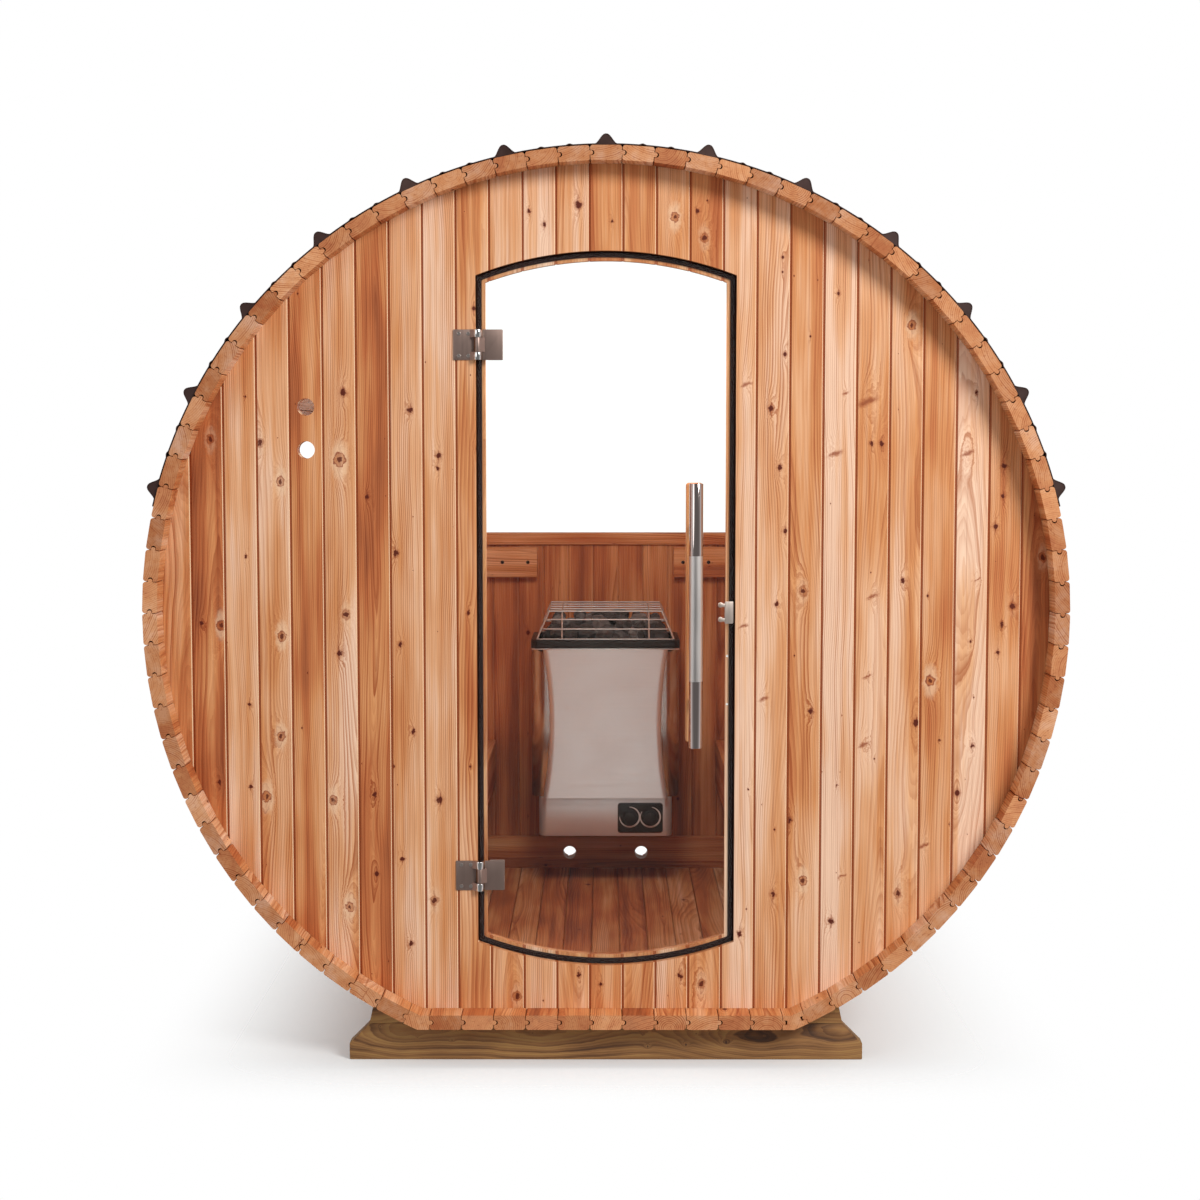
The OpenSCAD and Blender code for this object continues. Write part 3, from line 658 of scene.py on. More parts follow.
round_cedar = cedar_finish("stave cedar", round_lay, 0.42)
outer = barrel_r * math.cos(stave_turn / 2)
lying = Matrix.Translation((0, 0, axis_z)) @ Matrix.Rotation(math.pi / 2, 4, "X")
profile = stave_end(lambda v: v * math.tan(stave_turn / 2) - stave_gap / 2, outer - stave_t, outer)
patterns = []
for back_seat in (wall_seat, pane_seat):
    pattern = web("stave", profile, -stave_y, stave_y)
    pattern.data.transform(lying)
    for y0, y1 in (span(-1, *wall_seat), back_seat):
        cut(pattern, disc_tool(croze_r, -1, y0, y1))
    patterns.append(pattern)
stave_groups = ("left_lower", "left_middle", "left_upper", "crown", "right_upper", "right_middle", "right_lower")
for group, name in enumerate(stave_groups):
    row = []
    for i in range(round(group * stave_n / 7), round((group + 1) * stave_n / 7)):
        turn = (i - (stave_n - 1) / 2) * stave_turn
        stave = copied(patterns[math.cos(turn) > pane_rise], turned(turn))
        note(stave, "turn", "FLOAT", turn)
        row.append(board_notes(stave, i, stave_rng.uniform(0.2, 0.6), (0, 0, 0)))
    staves = join(name + "_stave_row", row)
    dress(staves, round_cedar)
    settle(staves, name + "_staves")

pattern = web("floor stave", stave_end(lambda v: (stave_face - stave_gap) / 2, -floor_z, stave_t - floor_z),
              -stave_y, stave_y)
pattern.data.transform(Matrix.Rotation(-math.pi / 2, 4, "X"))
for side in (-1, 1):
    y0, y1 = span(side, *wall_seat)
    cut(pattern, block("seat", (-0.1, y0, floor_z - seat_deep), (0.1, y1, floor_z + 0.1)))
row = []
for k in range(-5, 6):
    stave = copied(pattern, Matrix.Translation((k * stave_face, 0, 0)))
    row.append(board_notes(stave, 200 + k, stave_rng.uniform(0.42, 0.8), (k * stave_face, 0, floor_z)))
staves = join("floor_stave_row", row)
dress(staves, cedar_finish("floor cedar", board_lay("XZY"), 0.5))
settle(staves, "floor_staves")
for pattern in patterns + [pattern]:
    bpy.data.meshes.remove(pattern.data)
dress(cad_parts["corner_staves"], cedar_finish("corner cedar", corner_lay, 0.3))

# Chocks: short offcuts of the cradle's treated pine, sawn to the barrel's curve and screwed down
# on the beams, one at each end, so that the barrel can't roll.


def chock_lay(tree):
    x, y, z = split(coordinates(tree))
    return combine(z, y, x)


dress(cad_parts["cradle_chocks"], treated_pine("chock pine", chock_lay))

# Hoops: two stainless straps, rolled from flat strip and drawn tight round the staves under the
# roof sheet. They hold the barrel together.


def scaled(colour, by):
    """A colour made lighter or darker."""
    return [min(1, c * by) for c in tint(colour)[:3]] + [1]


def brushed_steel(name, colour, dull, along, bright=0.0, metal=1.0):
    """Stainless steel with a brushed grain that runs along one axis."""
    material, tree, shader = finish(name)
    place = coordinates(tree)
    grain = cloud(place, [4.0 if axis == along else 900.0 for axis in "XYZ"], 3, 0.6)
    shade = grain * 0.6 + (cloud(place, (9, 9, 9), 3) * 0.25 + 0.075)
    coat(shader, mix(shade, scaled(colour, 0.84), scaled(colour, 1.12 + bright)),
         smooth(shade, 0.3, 0.7, dull - 0.06, dull + 0.08), grain, 0.08, 0.0003)
    shader.inputs["Metallic"].default_value = metal
    return material


dress(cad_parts["hoops"], brushed_steel("hoop steel", "#a9abad", 0.38, "Y"))

# Front wall: upright cedar boards with eased edges that meet in a V, tongued together, sawn to
# the circle and seated in the croze. Two round vents go through one board left of the door.
board_w = 0.0772
board_gap = 0.0015
wall_y = -0.8485
wall_t = 0.038
wall_r = 1.04395
wall_foot = 0.1104
groove = (0.0026, 0.0015)
tongue_y = (0.0032, 0.024)
tongue_gap = 0.00005
door_half = 0.3015
door_r = 0.83535
ledge_w = 0.022
ledge_y = -0.8295
door_round = 0.012
vent_board = -9
vent_d = 0.040
vent_rises = (0.476949, 0.377949)
spare = 0.01


def door_tool(inset, y0, y1, corner):
    """The doorway's outline, straight at the sides and arched at both ends, as a solid."""
    half = door_half - inset
    tool = disc_tool(door_r - inset, -1, y0, y1)
    for side in (-1, 1):
        opened(tool)
        bpy.ops.mesh.bisect(plane_co=(side * half, 0, 0), plane_no=(side, 0, 0), use_fill=True, clear_outer=True)
        bpy.ops.object.mode_set(mode="OBJECT")
    if corner:
        ease(tool, corner, 5, lambda p, q: abs(abs(p.x) - half) < 1e-4 and abs(p.y - q.y) > 1e-4)
    return tool


def drill(piece, x, z, across, y0, y1):
    """Drills a round hole through a wall."""
    return cut(piece, bar("drill", (x, y0, z), (x, y1, z), across / 2, 64))


def repeated(name, pattern, moves):
    """One piece made of copies of a pattern, which is put away."""
    piece = join(name, [copied(pattern, move) for move in moves])
    bpy.data.meshes.remove(pattern.data)
    return piece


def wall_boards(name, numbers, y0, low, high):
    """A row of boards of one wall, eased on both faces, closed by tongues behind the open joints."""
    half, reach, y1 = board_w / 2 - board_gap, board_w / 2 - tongue_gap, y0 + wall_t
    edges = []
    for side, slope in zip((-1, 1), groove):
        edges.append([(side * x, y) for x, y in (
            (half - slope, y0), (half, y0 + slope), (half, y0 + tongue_y[0]), (reach, y0 + tongue_y[0]),
            (reach, y0 + tongue_y[1]), (half, y0 + tongue_y[1]), (half, y1 - slope), (half - slope, y1))])
    wall = repeated(name, web("board", edges[1] + edges[0][::-1], low, high),
                    [Matrix.Translation((k * board_w, 0, 0)) for k in numbers])
    return cut(wall, disc_tool(wall_r, wall_foot, y0 - spare, y1 + spare), "INTERSECT")


def wall_notes(wall, tones, shift, face_y, knots=None):
    """Marks each board of a wall with its number, tone, middle and the knots that it is known by."""
    mesh = wall.data
    numbers = [round(face.center.x / board_w) for face in mesh.polygons]
    for word, values in (("board", [k + shift for k in numbers]), ("tone", [tones[k] for k in numbers])):
        mesh.attributes.new(word, "FLOAT", "FACE").data.foreach_set("value", values)
    vectors = {"middle": [(k * board_w, face_y, 0) for k in numbers]}
    for i in range(knot_count if knots else 0):
        vectors[f"knot_{i}"] = [(knots.get(k, [])[i:i + 1] or [(0, -9, 0)])[0] for k in numbers]
    for word, values in vectors.items():
        flat = [number for vector in values for number in vector]
        mesh.attributes.new(word, "FLOAT_VECTOR", "FACE").data.foreach_set("vector", flat)


# How red each board is, from pale 0 to brown 1, and its larger knots as (across, height, radius)
front_tones = {-13: 0.46, -12: 0.74, -11: 0.28, -10: 0.32, -9: 0.64, -8: 0.27, -7: 0.68, -6: 0.29, -5: 0.22,
               -4: 0.46, 4: 0.22, 5: 0.31, 6: 0.4, 7: 0.04, 8: 0.38, 9: 0.34, 10: 0.47, 11: 0.02, 12: 0.46,
               13: 0.72}
head_tones = {-3: 0.22, -2: 0.12, -1: 0.34, 0: 0.56, 1: 0.36, 2: 0.4, 3: 0.5}
sill_tones = {-3: 0.5, -2: 0.18, -1: 0.34, 0: 0.6, 1: 0.5, 2: 0.32, 3: 0.52}
front_knots = {
    -12: [(0.010, 1.462, 0.0085), (0.030, 1.030, 0.0095), (-0.016, 1.035, 0.004), (0.020, 0.660, 0.005)],
    -11: [(0.012, 1.190, 0.004), (0.016, 0.844, 0.0045), (0.016, 0.649, 0.0045), (0.014, 1.560, 0.003)],
    -10: [(-0.030, 1.455, 0.0085), (0.018, 1.365, 0.009), (0.016, 1.005, 0.0095), (0.012, 0.770, 0.009),
          (-0.023, 0.626, 0.0105)],
    -8: [(0.000, 1.415, 0.0125), (0.012, 1.055, 0.0085), (-0.004, 0.965, 0.007), (0.010, 1.570, 0.0075),
         (-0.022, 0.618, 0.009), (0.014, 0.364, 0.0095)],
    -7: [(-0.014, 1.330, 0.005), (-0.002, 0.633, 0.0065)],
    -6: [(0.010, 1.530, 0.006), (-0.026, 1.200, 0.0065), (-0.016, 0.985, 0.0055), (0.012, 0.780, 0.0055),
         (-0.015, 0.479, 0.005), (0.004, 0.277, 0.0055)],
    -5: [(-0.002, 1.425, 0.0065), (-0.004, 1.395, 0.004), (-0.004, 0.620, 0.0075), (-0.018, 0.380, 0.0085)],
    -4: [(0.012, 1.440, 0.006), (-0.012, 1.060, 0.004)],
    4: [(0.016, 1.589, -0.006), (0.012, 1.028, -0.005), (0.026, 0.645, 0.003), (0.006, 0.300, 0.0055)],
    5: [(-0.005, 1.534, 0.0065), (0.017, 1.396, 0.006), (0.030, 1.250, 0.0065), (0.012, 1.080, 0.0055),
        (-0.018, 0.857, -0.006), (0.007, 0.395, 0.0065)],
    6: [(-0.004, 1.110, 0.0085), (0.016, 0.827, 0.006), (0.001, 0.428, 0.009), (-0.034, 0.571, 0.007)],
    7: [(-0.005, 1.798, 0.004), (-0.010, 1.429, -0.008), (0.013, 1.569, -0.004), (0.015, 0.438, -0.0045),
        (-0.010, 0.330, 0.007), (0.001, 0.654, 0.003)],
    8: [(-0.014, 1.549, -0.012), (-0.002, 1.452, 0.005), (0.021, 1.452, 0.006), (0.003, 1.098, -0.006),
        (-0.007, 0.910, -0.005), (-0.014, 0.749, -0.007)],
    9: [(0.011, 1.725, 0.009), (-0.005, 1.135, 0.0055), (0.031, 0.802, 0.0075), (-0.008, 0.398, 0.0085)],
    10: [(-0.015, 0.900, 0.0105), (0.009, 0.760, 0.003), (-0.026, 0.511, -0.006)],
    11: [(-0.011, 1.431, -0.007), (0.007, 1.569, 0.0035), (0.016, 1.138, -0.004), (0.001, 0.993, 0.0035),
         (0.009, 0.747, 0.0045)],
    12: [(-0.005, 1.401, 0.007), (-0.004, 1.332, 0.006), (-0.022, 1.261, 0.0065), (0.020, 1.076, 0.0082),
         (-0.004, 1.030, 0.006), (-0.012, 0.965, 0.005)],
    13: [(0.012, 1.190, 0.0085)],
}
head_knots = {-2: [(-0.022, 1.985, 0.0045), (0.012, 1.955, 0.005)], -1: [(0.014, 2.000, 0.0075)],
              0: [(0.014, 1.962, 0.004)], 2: [(0.004, 1.972, 0.0092)],
              3: [(-0.006, 1.925, 0.0085), (-0.022, 1.985, 0.005)]}
sill_knots = {-3: [(0.022, 0.150, 0.0085)], -1: [(0.014, 0.200, 0.004)], 0: [(-0.012, 0.180, 0.005)],
              2: [(0.020, 0.200, 0.006)], 3: [(-0.006, 0.180, 0.0085)]}

front_cedar = cedar_finish("front wall cedar", board_lay("XYZ"), 0.16, knot_count, 0.9)
side_low, side_high = wall_foot - spare, axis_z + wall_r + spare
left_boards = [k for k in range(-13, -3) if k != vent_board]
wall_groups = (
    ("front_boards_left", "front_wall_left", left_boards, side_low, side_high, front_tones, front_knots),
    ("front_vent_board", "vent_board", [vent_board], side_low, side_high, front_tones, front_knots),
    ("front_boards_right", "front_wall_right", range(4, 14), side_low, side_high, front_tones, front_knots),
    ("front_boards_head", "front_wall_head", range(-3, 4), axis_z, side_high, head_tones, head_knots),
    ("front_boards_sill", "front_wall_sill", range(-3, 4), side_low, axis_z, sill_tones, sill_knots),
)
for number, (name, node, boards, low, high, tones, knots) in enumerate(wall_groups):
    wall = wall_boards(name, boards, wall_y, low, high)
    cut(wall, door_tool(0, wall_y - spare, ledge_y, door_round))
    cut(wall, door_tool(ledge_w, wall_y - spare, wall_y + wall_t + spare, 0))
    for rise in vent_rises if node == "vent_board" else ():
        drill(wall, vent_board * board_w, axis_z + rise, vent_d, wall_y - spare, wall_y + wall_t + spare)
    wall_notes(wall, tones, 300 + 40 * number, wall_y, knots)
    dress(wall, front_cedar)
    settle(wall, node)

# Back wall: boards like the front's up to the window, with a sill let over them that holds the
# pane, two cleats to hang towels from, and a kick rail along the floor with two cable holes.
back_y = 0.8105
back_top = 1.13406
room_r = 1.03195
cable_x = 0.112
cable_z = 0.171
cable_d = 0.040
cleat_in = 0.211
rail_ease, sill_ease = 0.003, 0.004
slot_gap = 0.0004
rng = random.Random(5)
# Browner tones than the front's: partly the boards' own colour, partly painted shade for the dim inside of the
# barrel.
dim_back_tones = {k: rng.uniform(0.62, 0.92) for k in range(-14, 15)}
back_cedar = cedar_finish("back wall cedar", board_lay("XYZ"), 0.4, 0, 0.12)
for name, boards, side in (("back_boards_left", range(-13, 0), -1), ("back_boards_right", range(0, 14), 1)):
    wall = wall_boards(name, boards, back_y, side_low, back_top)
    drill(wall, side * cable_x, cable_z, cable_d, back_y - spare, back_y + wall_t + spare)
    wall_notes(wall, dim_back_tones, 600, back_y)
    dress(wall, back_cedar)
    settle(wall, name.replace("boards", "wall"))

cross_cedar = cedar_finish("cross board cedar", board_lay("ZYX"), 0.35)


def fitted(piece):
    """Sawn to the inside of the barrel."""
    return cut(piece, disc_tool(room_r, -1, back_y - 0.2, back_y + 0.2), "INTERSECT")


def level(p, q):
    return abs(p.x - q.x) > 0.05


kick = fitted(block("kick_board", *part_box("kick_rail")))
ease(kick, rail_ease, 2, level)
for side in (-1, 1):
    drill(kick, side * cable_x, cable_z, cable_d, back_y - 0.1, back_y + spare)
board_notes(kick, 21, 0.62, (0, back_y, cable_z))

low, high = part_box("window_sill")
sill = fitted(block("window_ledge", low, high))
ease(sill, sill_ease, 2, level)
pane_low, pane_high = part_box("window_glass")
cut(sill, block("slot", (-1.1, pane_low.y - slot_gap, pane_low.z - slot_gap),
                (1.1, pane_high.y + slot_gap, high.z + 0.02)))
board_notes(sill, 22, 0.66, (0, back_y, high.z))

low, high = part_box("wall_cleats")
cleats = []
for side in (-1, 1):
    x0, x1 = span(side, cleat_in, high.x)
    cleat = ease(fitted(block("cleat", (x0, low.y, low.z), (x1, high.y, high.z))), rail_ease)
    cleats.append(board_notes(cleat, 23 + side, 0.6 + 0.05 * side, (side * 0.5, low.y, (low.z + high.z) / 2)))

for piece, node in ((kick, "kick_rail"), (sill, "window_sill"), (join("towel_cleats", cleats), "wall_cleats")):
    dress(rounded(piece), cross_cedar)
    settle(piece, node)

# Window: a half-moon of clear toughened glass, cut to the barrel's circle. It stands in the croze
# and in the sill's slot, without a frame.


def blend(share, first, second):
    """Shows a finish as two shaders, by share."""
    both = add_node("MixShader", share, Value(first.outputs[0]), Value(second.outputs[0]))
    feed(share.tree.nodes["Material Output"].inputs["Surface"], Value(both.outputs[0]))


def clear_glass(name, colour):
    """Clear toughened glass. Light for what lies behind it passes straight through."""
    material, tree, shader = finish(name)
    place = coordinates(tree)
    edge = smooth(abs(split(coordinates(tree, "Normal"))[1]), 0.9, 0.5)
    coat(shader, mix(edge, tint(colour), tint("#0a0b0a")),
         smooth(cloud(place, (40, 40, 40), 3), 0.55, 0.8, 0.0, 0.02), cloud(place, (3, 3, 3), 2), 0.02, 0.001)
    shader.inputs["Transmission Weight"].default_value = 1
    shader.inputs["IOR"].default_value = 1.22
    path = tree.nodes.new("ShaderNodeLightPath").outputs
    open_air = tree.nodes.new("ShaderNodeBsdfTransparent")
    open_air.inputs[0].default_value = (0.98, 0.99, 0.985, 1)
    blend(largest(Value(path["Is Shadow Ray"]), Value(path["Is Diffuse Ray"])), shader, open_air)
    return material


glass = clear_glass("clear glass", "#fdfffe")
dress(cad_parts["window_glass"], glass)

# Benches: five cedar slats a side laid along the barrel on bearers scribed to its curve, with an
# apron board on edge along the aisle.
slat_x = 0.377
slat_w = 0.0909
slat_gap = 0.006
slat_ease, apron_ease, bearer_ease = 0.004, 0.003, 0.002
apron_t = 0.030
bearer_in = 0.373
long_cedar = cedar_finish("bench cedar", board_lay("XZY"), 0.3)
apron_cedar = cedar_finish("apron cedar", board_lay("ZXY"), 0.3)
for side, name in ((-1, "left_bench"), (1, "right_bench")):
    low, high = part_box(name + "_slats")
    slats = []
    for i in range(5):
        inner = slat_x + i * (slat_w + slat_gap)
        x0, x1 = span(side, inner, inner + slat_w)
        slat = ease(block("slat", (x0, low.y, low.z), (x1, high.y, high.z)), slat_ease)
        tone = 0.45 + 0.3 * rng.random()
        slats.append(board_notes(slat, 40 + side * 10 + i, tone, ((x0 + x1) / 2, 0, high.z)))
    bench = join(name + "_top", slats)
    dress(rounded(bench), long_cedar)
    settle(bench, name + "_slats")

low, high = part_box("bench_aprons")
aprons = []
for side in (-1, 1):
    x0, x1 = span(side, high.x, high.x - apron_t)
    apron = ease(block("apron", (x0, low.y, low.z), (x1, high.y, high.z)), apron_ease)
    aprons.append(board_notes(apron, 70 + side, 0.55 + 0.08 * side, (x0, 0, (low.z + high.z) / 2)))
aprons = join("bench_fronts", aprons)
dress(rounded(aprons), apron_cedar)
settle(aprons, "bench_aprons")

low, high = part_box("bench_bearers")
bearers = []
for side in (-1, 1):
    for y in (low.y, -stave_t / 2, high.y - stave_t):
        x0, x1 = span(side, bearer_in, high.x)
        bearer = block("bearer", (x0, y, low.z), (x1, y + stave_t, high.z))
        cut(bearer, disc_tool(room_r, -1, y - 0.05, y + 0.1), "INTERSECT")
        ease(bearer, bearer_ease)
        bearers.append(board_notes(bearer, 80 + len(bearers), 0.6, (side * 0.5, y, low.z)))
bearers = join("bench_supports", bearers)
dress(rounded(bearers), cross_cedar)
settle(bearers, "bench_bearers")

# Heater: an electric wall heater in stainless sheet, hung on two rails. A polished casing with
# rounded front corners carries a satin front sheet, waisted at its sides and dished in height.
casing_round = 0.040
fold_ease = 0.0012
front_waist = 0.167
front_dish = 0.014
front_roll = 0.014


def plumb(p, q):
    return abs(p.x - q.x) + abs(p.y - q.y) < 1e-5


def round_case(name, node, corner):
    """A folded sheet box with its two front corners rounded."""
    low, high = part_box(node)
    box = ease(block(name, low, high), corner, 10, lambda p, q: plumb(p, q) and p.y < low.y + 1e-4)
    return rounded(ease(box, fold_ease))


def dished_front():
    """The front sheet, rolled back along its sides."""
    low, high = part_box("heater_front")
    bpy.ops.object.select_all(action="DESELECT")
    bpy.ops.mesh.primitive_grid_add(x_subdivisions=56, y_subdivisions=40, size=2)
    sheet = made("heater_front_sheet")
    for corner in sheet.data.vertices:
        across, up = math.sin(corner.co.x * math.pi / 2), corner.co.y
        half = front_waist + (high.x - front_waist) * up * up
        short = max(0, front_roll - half * (1 - abs(across)))
        back = front_roll - math.sqrt(front_roll ** 2 - short ** 2)
        corner.co = (half * across, low.y + front_dish * (1 - up * up) + back,
                     (low.z + high.z) / 2 + up * (high.z - low.z) / 2)
    opened(sheet)
    bpy.ops.mesh.extrude_region_move()
    mesh = bmesh.from_edit_mesh(sheet.data)
    for corner in mesh.verts:
        if corner.select:
            corner.co.y = high.y
    bmesh.update_edit_mesh(sheet.data)
    bpy.ops.mesh.select_all(action="SELECT")
    bpy.ops.mesh.normals_make_consistent(inside=False)
    bpy.ops.object.mode_set(mode="OBJECT")
    return rounded(sheet)


casing = round_case("heater_body", "heater_casing", casing_round)
dress(casing, brushed_steel("polished casing", "#c9c3bd", 0.16, "Z"))
settle(casing, "heater_casing")
dress(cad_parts["heater_bracket"], brushed_steel("bracket steel", "#8b8985", 0.35, "X"))
front = dished_front()
dress(front, brushed_steel("satin sheet", "#eae8e6", 0.36, "X", 0, 0.6))
settle(front, "heater_front")

# Stone rim: a polished tray edge with rounded corners and a rolled lip, which the stones fill
# and the wire guard stands on.
rim_w = 0.022
rim_round = 0.022
rim_ease = 0.001
lip_out = 0.002
lip_h = 0.004


def tray_edge(name, low, high):
    """A frame with rounded corners round an opening."""
    edge = ease(block(name, low, high), rim_round, 8, plumb)
    inside = block("inside", (low[0] + rim_w, low[1] + rim_w, low[2] - spare),
                   (high[0] - rim_w, high[1] - rim_w, high[2] + spare))
    cut(edge, ease(inside, rim_round * 0.4, 4, plumb))
    return rounded(ease(edge, rim_ease))


low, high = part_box("heater_rim")
rim_top = high.z
rim = tray_edge("stone_rim", low, high)
dress(rim, brushed_steel("dark polish", "#332d2a", 0.38, "X", 0.6))
settle(rim, "heater_rim")
# The lip's pale steel against the dark rim is a painted highlight along the rim's lower edge.
rim_lip_painted_highlight = tray_edge("rim_lip", (low.x - lip_out, low.y - lip_out, low.z), (high.x + lip_out, high.y, low.z + lip_h))
dress(rim_lip_painted_highlight, brushed_steel("bright lip", "#d9d3ce", 0.2, "X", 0, 0.7))
settle(rim_lip_painted_highlight, None)

# Stones: split dark olivine, each broken flat on several sides. They are packed loose into the
# tray and heaped up to just under the guard's wires.
stone_half = 0.192
stone_lean = 0.42
stone_bed = 0.838
stone_top = 0.94
stone_y = (0.5345, 0.7465)
heap = [(0.5345, 0.888), (0.5725, 0.938), (0.7275, 0.946), (0.7465, 0.912)]
bed_start, bed_step = Vector((-0.15, 0.585, 0.872)), (0.05, 0.0575)
bed_size = 0.085
stone_shape = Matrix.Diagonal((1.15, 0.95, 0.8, 1))
stone_rng = random.Random(11)


def split_stone():
    """A stone about 1 across, broken flat on several sides."""
    bpy.ops.object.select_all(action="DESELECT")
    bpy.ops.mesh.primitive_ico_sphere_add(subdivisions=2, radius=0.5)
    stone = bpy.context.object
    for corner in stone.data.vertices:
        corner.co *= stone_rng.uniform(0.93, 1.05)
    bpy.ops.object.mode_set(mode="EDIT")
    for _ in range(9):
        way = Vector((stone_rng.gauss(0, 1), stone_rng.gauss(0, 1), stone_rng.gauss(0, 1))).normalized()
        bpy.ops.mesh.select_all(action="SELECT")
        bpy.ops.mesh.bisect(plane_co=way * stone_rng.uniform(0.27, 0.4), plane_no=way, use_fill=True,
                            clear_outer=True)
    bpy.ops.mesh.select_all(action="SELECT")
    bpy.ops.mesh.convex_hull()
    bpy.ops.mesh.dissolve_limited(angle_limit=0.2)
    bpy.ops.object.mode_set(mode="OBJECT")
    return ease(stone, 0.018, 1)


def tumbled():
    return Euler([stone_rng.uniform(0, 6.28) for _ in range(3)]).to_matrix().to_4x4()


def under_heap(point):
    """Whether a point lies inside the heap's outline."""
    half = stone_half - stone_lean * max(0, point.z - rim_top)
    if abs(point.x) > half or point.z < stone_bed or not stone_y[0] < point.y < stone_y[1]:
        return False
    for (ya, za), (yb, zb) in zip(heap, heap[1:]):
        if ya <= point.y <= yb:
            return point.z < za + (zb - za) * (point.y - ya) / (yb - ya)
    return False


kinds = [split_stone() for _ in range(9)]
placed, stones = [], []
for i in range(21):
    spot = bed_start + Vector((bed_step[0] * (i % 7), bed_step[1] * (i // 7), 0))
    turn = tumbled()
    stones.append(copied(stone_rng.choice(kinds), Matrix.Translation(spot) @ turn @ Matrix.Scale(bed_size, 4)))
    note(stones[-1], "tone", "FLOAT", 0.16 * (i % 6))
for size, tries in ((0.092, 900), (0.072, 2500), (0.052, 5000), (0.038, 4000)):
    for _ in range(tries):
        spot = Vector((stone_rng.uniform(-stone_half, stone_half), stone_rng.uniform(*stone_y),
                       stone_rng.uniform(stone_bed, stone_top)))
        across = size * stone_rng.uniform(0.88, 1.1)
        kind = stone_rng.choice(kinds)
        turn = tumbled()
        if any((spot - p).length < 0.4 * (across + a) for p, a in placed):
            continue
        move = Matrix.Translation(spot) @ turn @ Matrix.Scale(across, 4) @ stone_shape
        if not all(under_heap(move @ corner.co) for corner in kind.data.vertices):
            continue
        placed.append((spot, across))
        stones.append(copied(kind, move))
        note(stones[-1], "tone", "FLOAT", stone_rng.random())
for kind in kinds:
    bpy.data.meshes.remove(kind.data)
stones = join("split_stones", stones)


def stone_finish():
    material, tree, shader = finish("split stone")
    place = coordinates(tree)
    coarse = cloud(place, (55, 55, 55), 5, 0.6)
    fine = cloud(place, (420, 420, 420), 3, 0.6)
    shade = coarse * 0.7 + fine * 0.35 + (attribute(tree, "tone") * 0.4 - 0.25)
    colour = ramp(shade, (0.2, "#343230"), (0.5, "#5b5755"), (0.75, "#88827f"), (1.0, "#b4aeaa"))
    coat(shader, colour, smooth(fine, 0.3, 0.7, 0.65, 0.9), fine * 0.3 + coarse, 0.6, 0.003)
    return material


dress(stones, stone_finish())
settle(stones, "heater_stones")

# Guard: round stainless wire bent to shape and spot-welded where it crosses, a cage with sloping
# sides that stands on the rim over the stones.
wire_r = 0.00225
foot_x, foot_y0, foot_y1, foot_z = 0.204, 0.5145, 0.7665, 0.865 + wire_r
top_x, top_y0, top_y1 = 0.168, 0.5525, 0.7538
top_front, top_back = 0.948, 0.960
stay_x = 0.1297
ring_bend, stay_bend = 0.012, 0.014


def bent(points, radius, closed=False):
    """A wire's path with its corners bent round."""
    points = [Vector(p) for p in points]
    ring = points[-1:] + points + points[:1] if closed else points
    path = [] if closed else [points[0]]
    for before, here, after in zip(ring, ring[1:], ring[2:]):
        start = here + (before - here).normalized() * radius
        end = here + (after - here).normalized() * radius
        for i in range(7):
            path.append(start.lerp(here, i / 6).lerp(here.lerp(end, i / 6), i / 6))
    return path if closed else path + [points[-1]]


def wire(path, closed=False):
    """Round wire along a path."""
    curve = bpy.data.curves.new("wire", "CURVE")
    curve.dimensions = "3D"
    curve.bevel_depth, curve.bevel_resolution, curve.use_fill_caps = wire_r, 2, True
    spline = curve.splines.new("POLY")
    spline.points.add(len(path) - 1)
    spline.points.foreach_set("co", [number for p in path for number in (*p, 1)])
    spline.use_cyclic_u = closed
    rod = bpy.data.objects.new("wire", curve)
    bpy.context.scene.collection.objects.link(rod)
    hold(rod)
    bpy.ops.object.convert(target="MESH")
    return bpy.context.object


def between(a, b, share):
    return a + (b - a) * share


wires = []
for share in (0, 0.36, 0.7):
    x = between(foot_x, top_x, share)
    y0, y1 = between(foot_y0, top_y0, share), between(foot_y1, top_y1, share)
    z0, z1 = between(foot_z, top_front, share), between(foot_z, top_back, share)
    wires.append(wire(bent([(-x, y0, z0), (x, y0, z0), (x, y1, z1), (-x, y1, z1)], ring_bend, True), True))
for share in (0, 0.25, 0.5, 0.75, 1):
    y, z = between(top_y0, top_y1, share), between(top_front, top_back, share)
    wires.append(wire([Vector((-top_x, y, z)), Vector((top_x, y, z))]))
for side in (-1, 1):
    for low_x, high_x in ((foot_x, top_x), (stay_x, stay_x)):
        wires.append(wire(bent([(side * low_x, foot_y0, foot_z), (side * high_x, top_y0, top_front),
                                (side * high_x, top_y1, top_back), (side * low_x, foot_y1, foot_z)], stay_bend)))
guard = rounded(join("stone_guard", wires), 1.2)
dress(guard, brushed_steel("bright wire", "#e2deda", 0.2, "X", 0, 0.6))
settle(guard, "heater_guard")

# Control box: a folded box under the casing with a screw in each side, and a black plate on its
# front that carries two turning dials, each inside a printed scale that thins out to its ends.
box_round = 0.025
side_screw_y, side_screw_z = 0.600, 0.334
plate_t, plate_ease = 0.003, 0.0005
edge_w, edge_back = 0.0012, 0.0006
edge_round, panel_round = 0.009, 0.008
dial_x, dial_z = (0.0725, 0.1345), 0.331
scale_r, scale_thin, scale_thick = 0.0298, 0.0007, 0.0026
skirt_r, skirt_w, skirt_t = 0.022, 0.004, 0.006
dial_sides = 72
mark_half, mark_z = 0.0009, (0.004, 0.0155)


def bolt_head(radius, height):
    """A flat-topped screw head that looks along -Y, with a cross recess."""
    head = ease(bar("screw", (0, -height, 0), (0, 0, 0), radius, 20), height * 0.45, 2,
                lambda p, q: max(p.y, q.y) < -height + 1e-5)
    arm, slim = radius * 0.62, radius * 0.13
    for x, z in ((arm, slim), (slim, arm)):
        cut(head, block("recess", (-x, -height - 0.001, -z), (x, -height * 0.45, z)))
    return rounded(head)


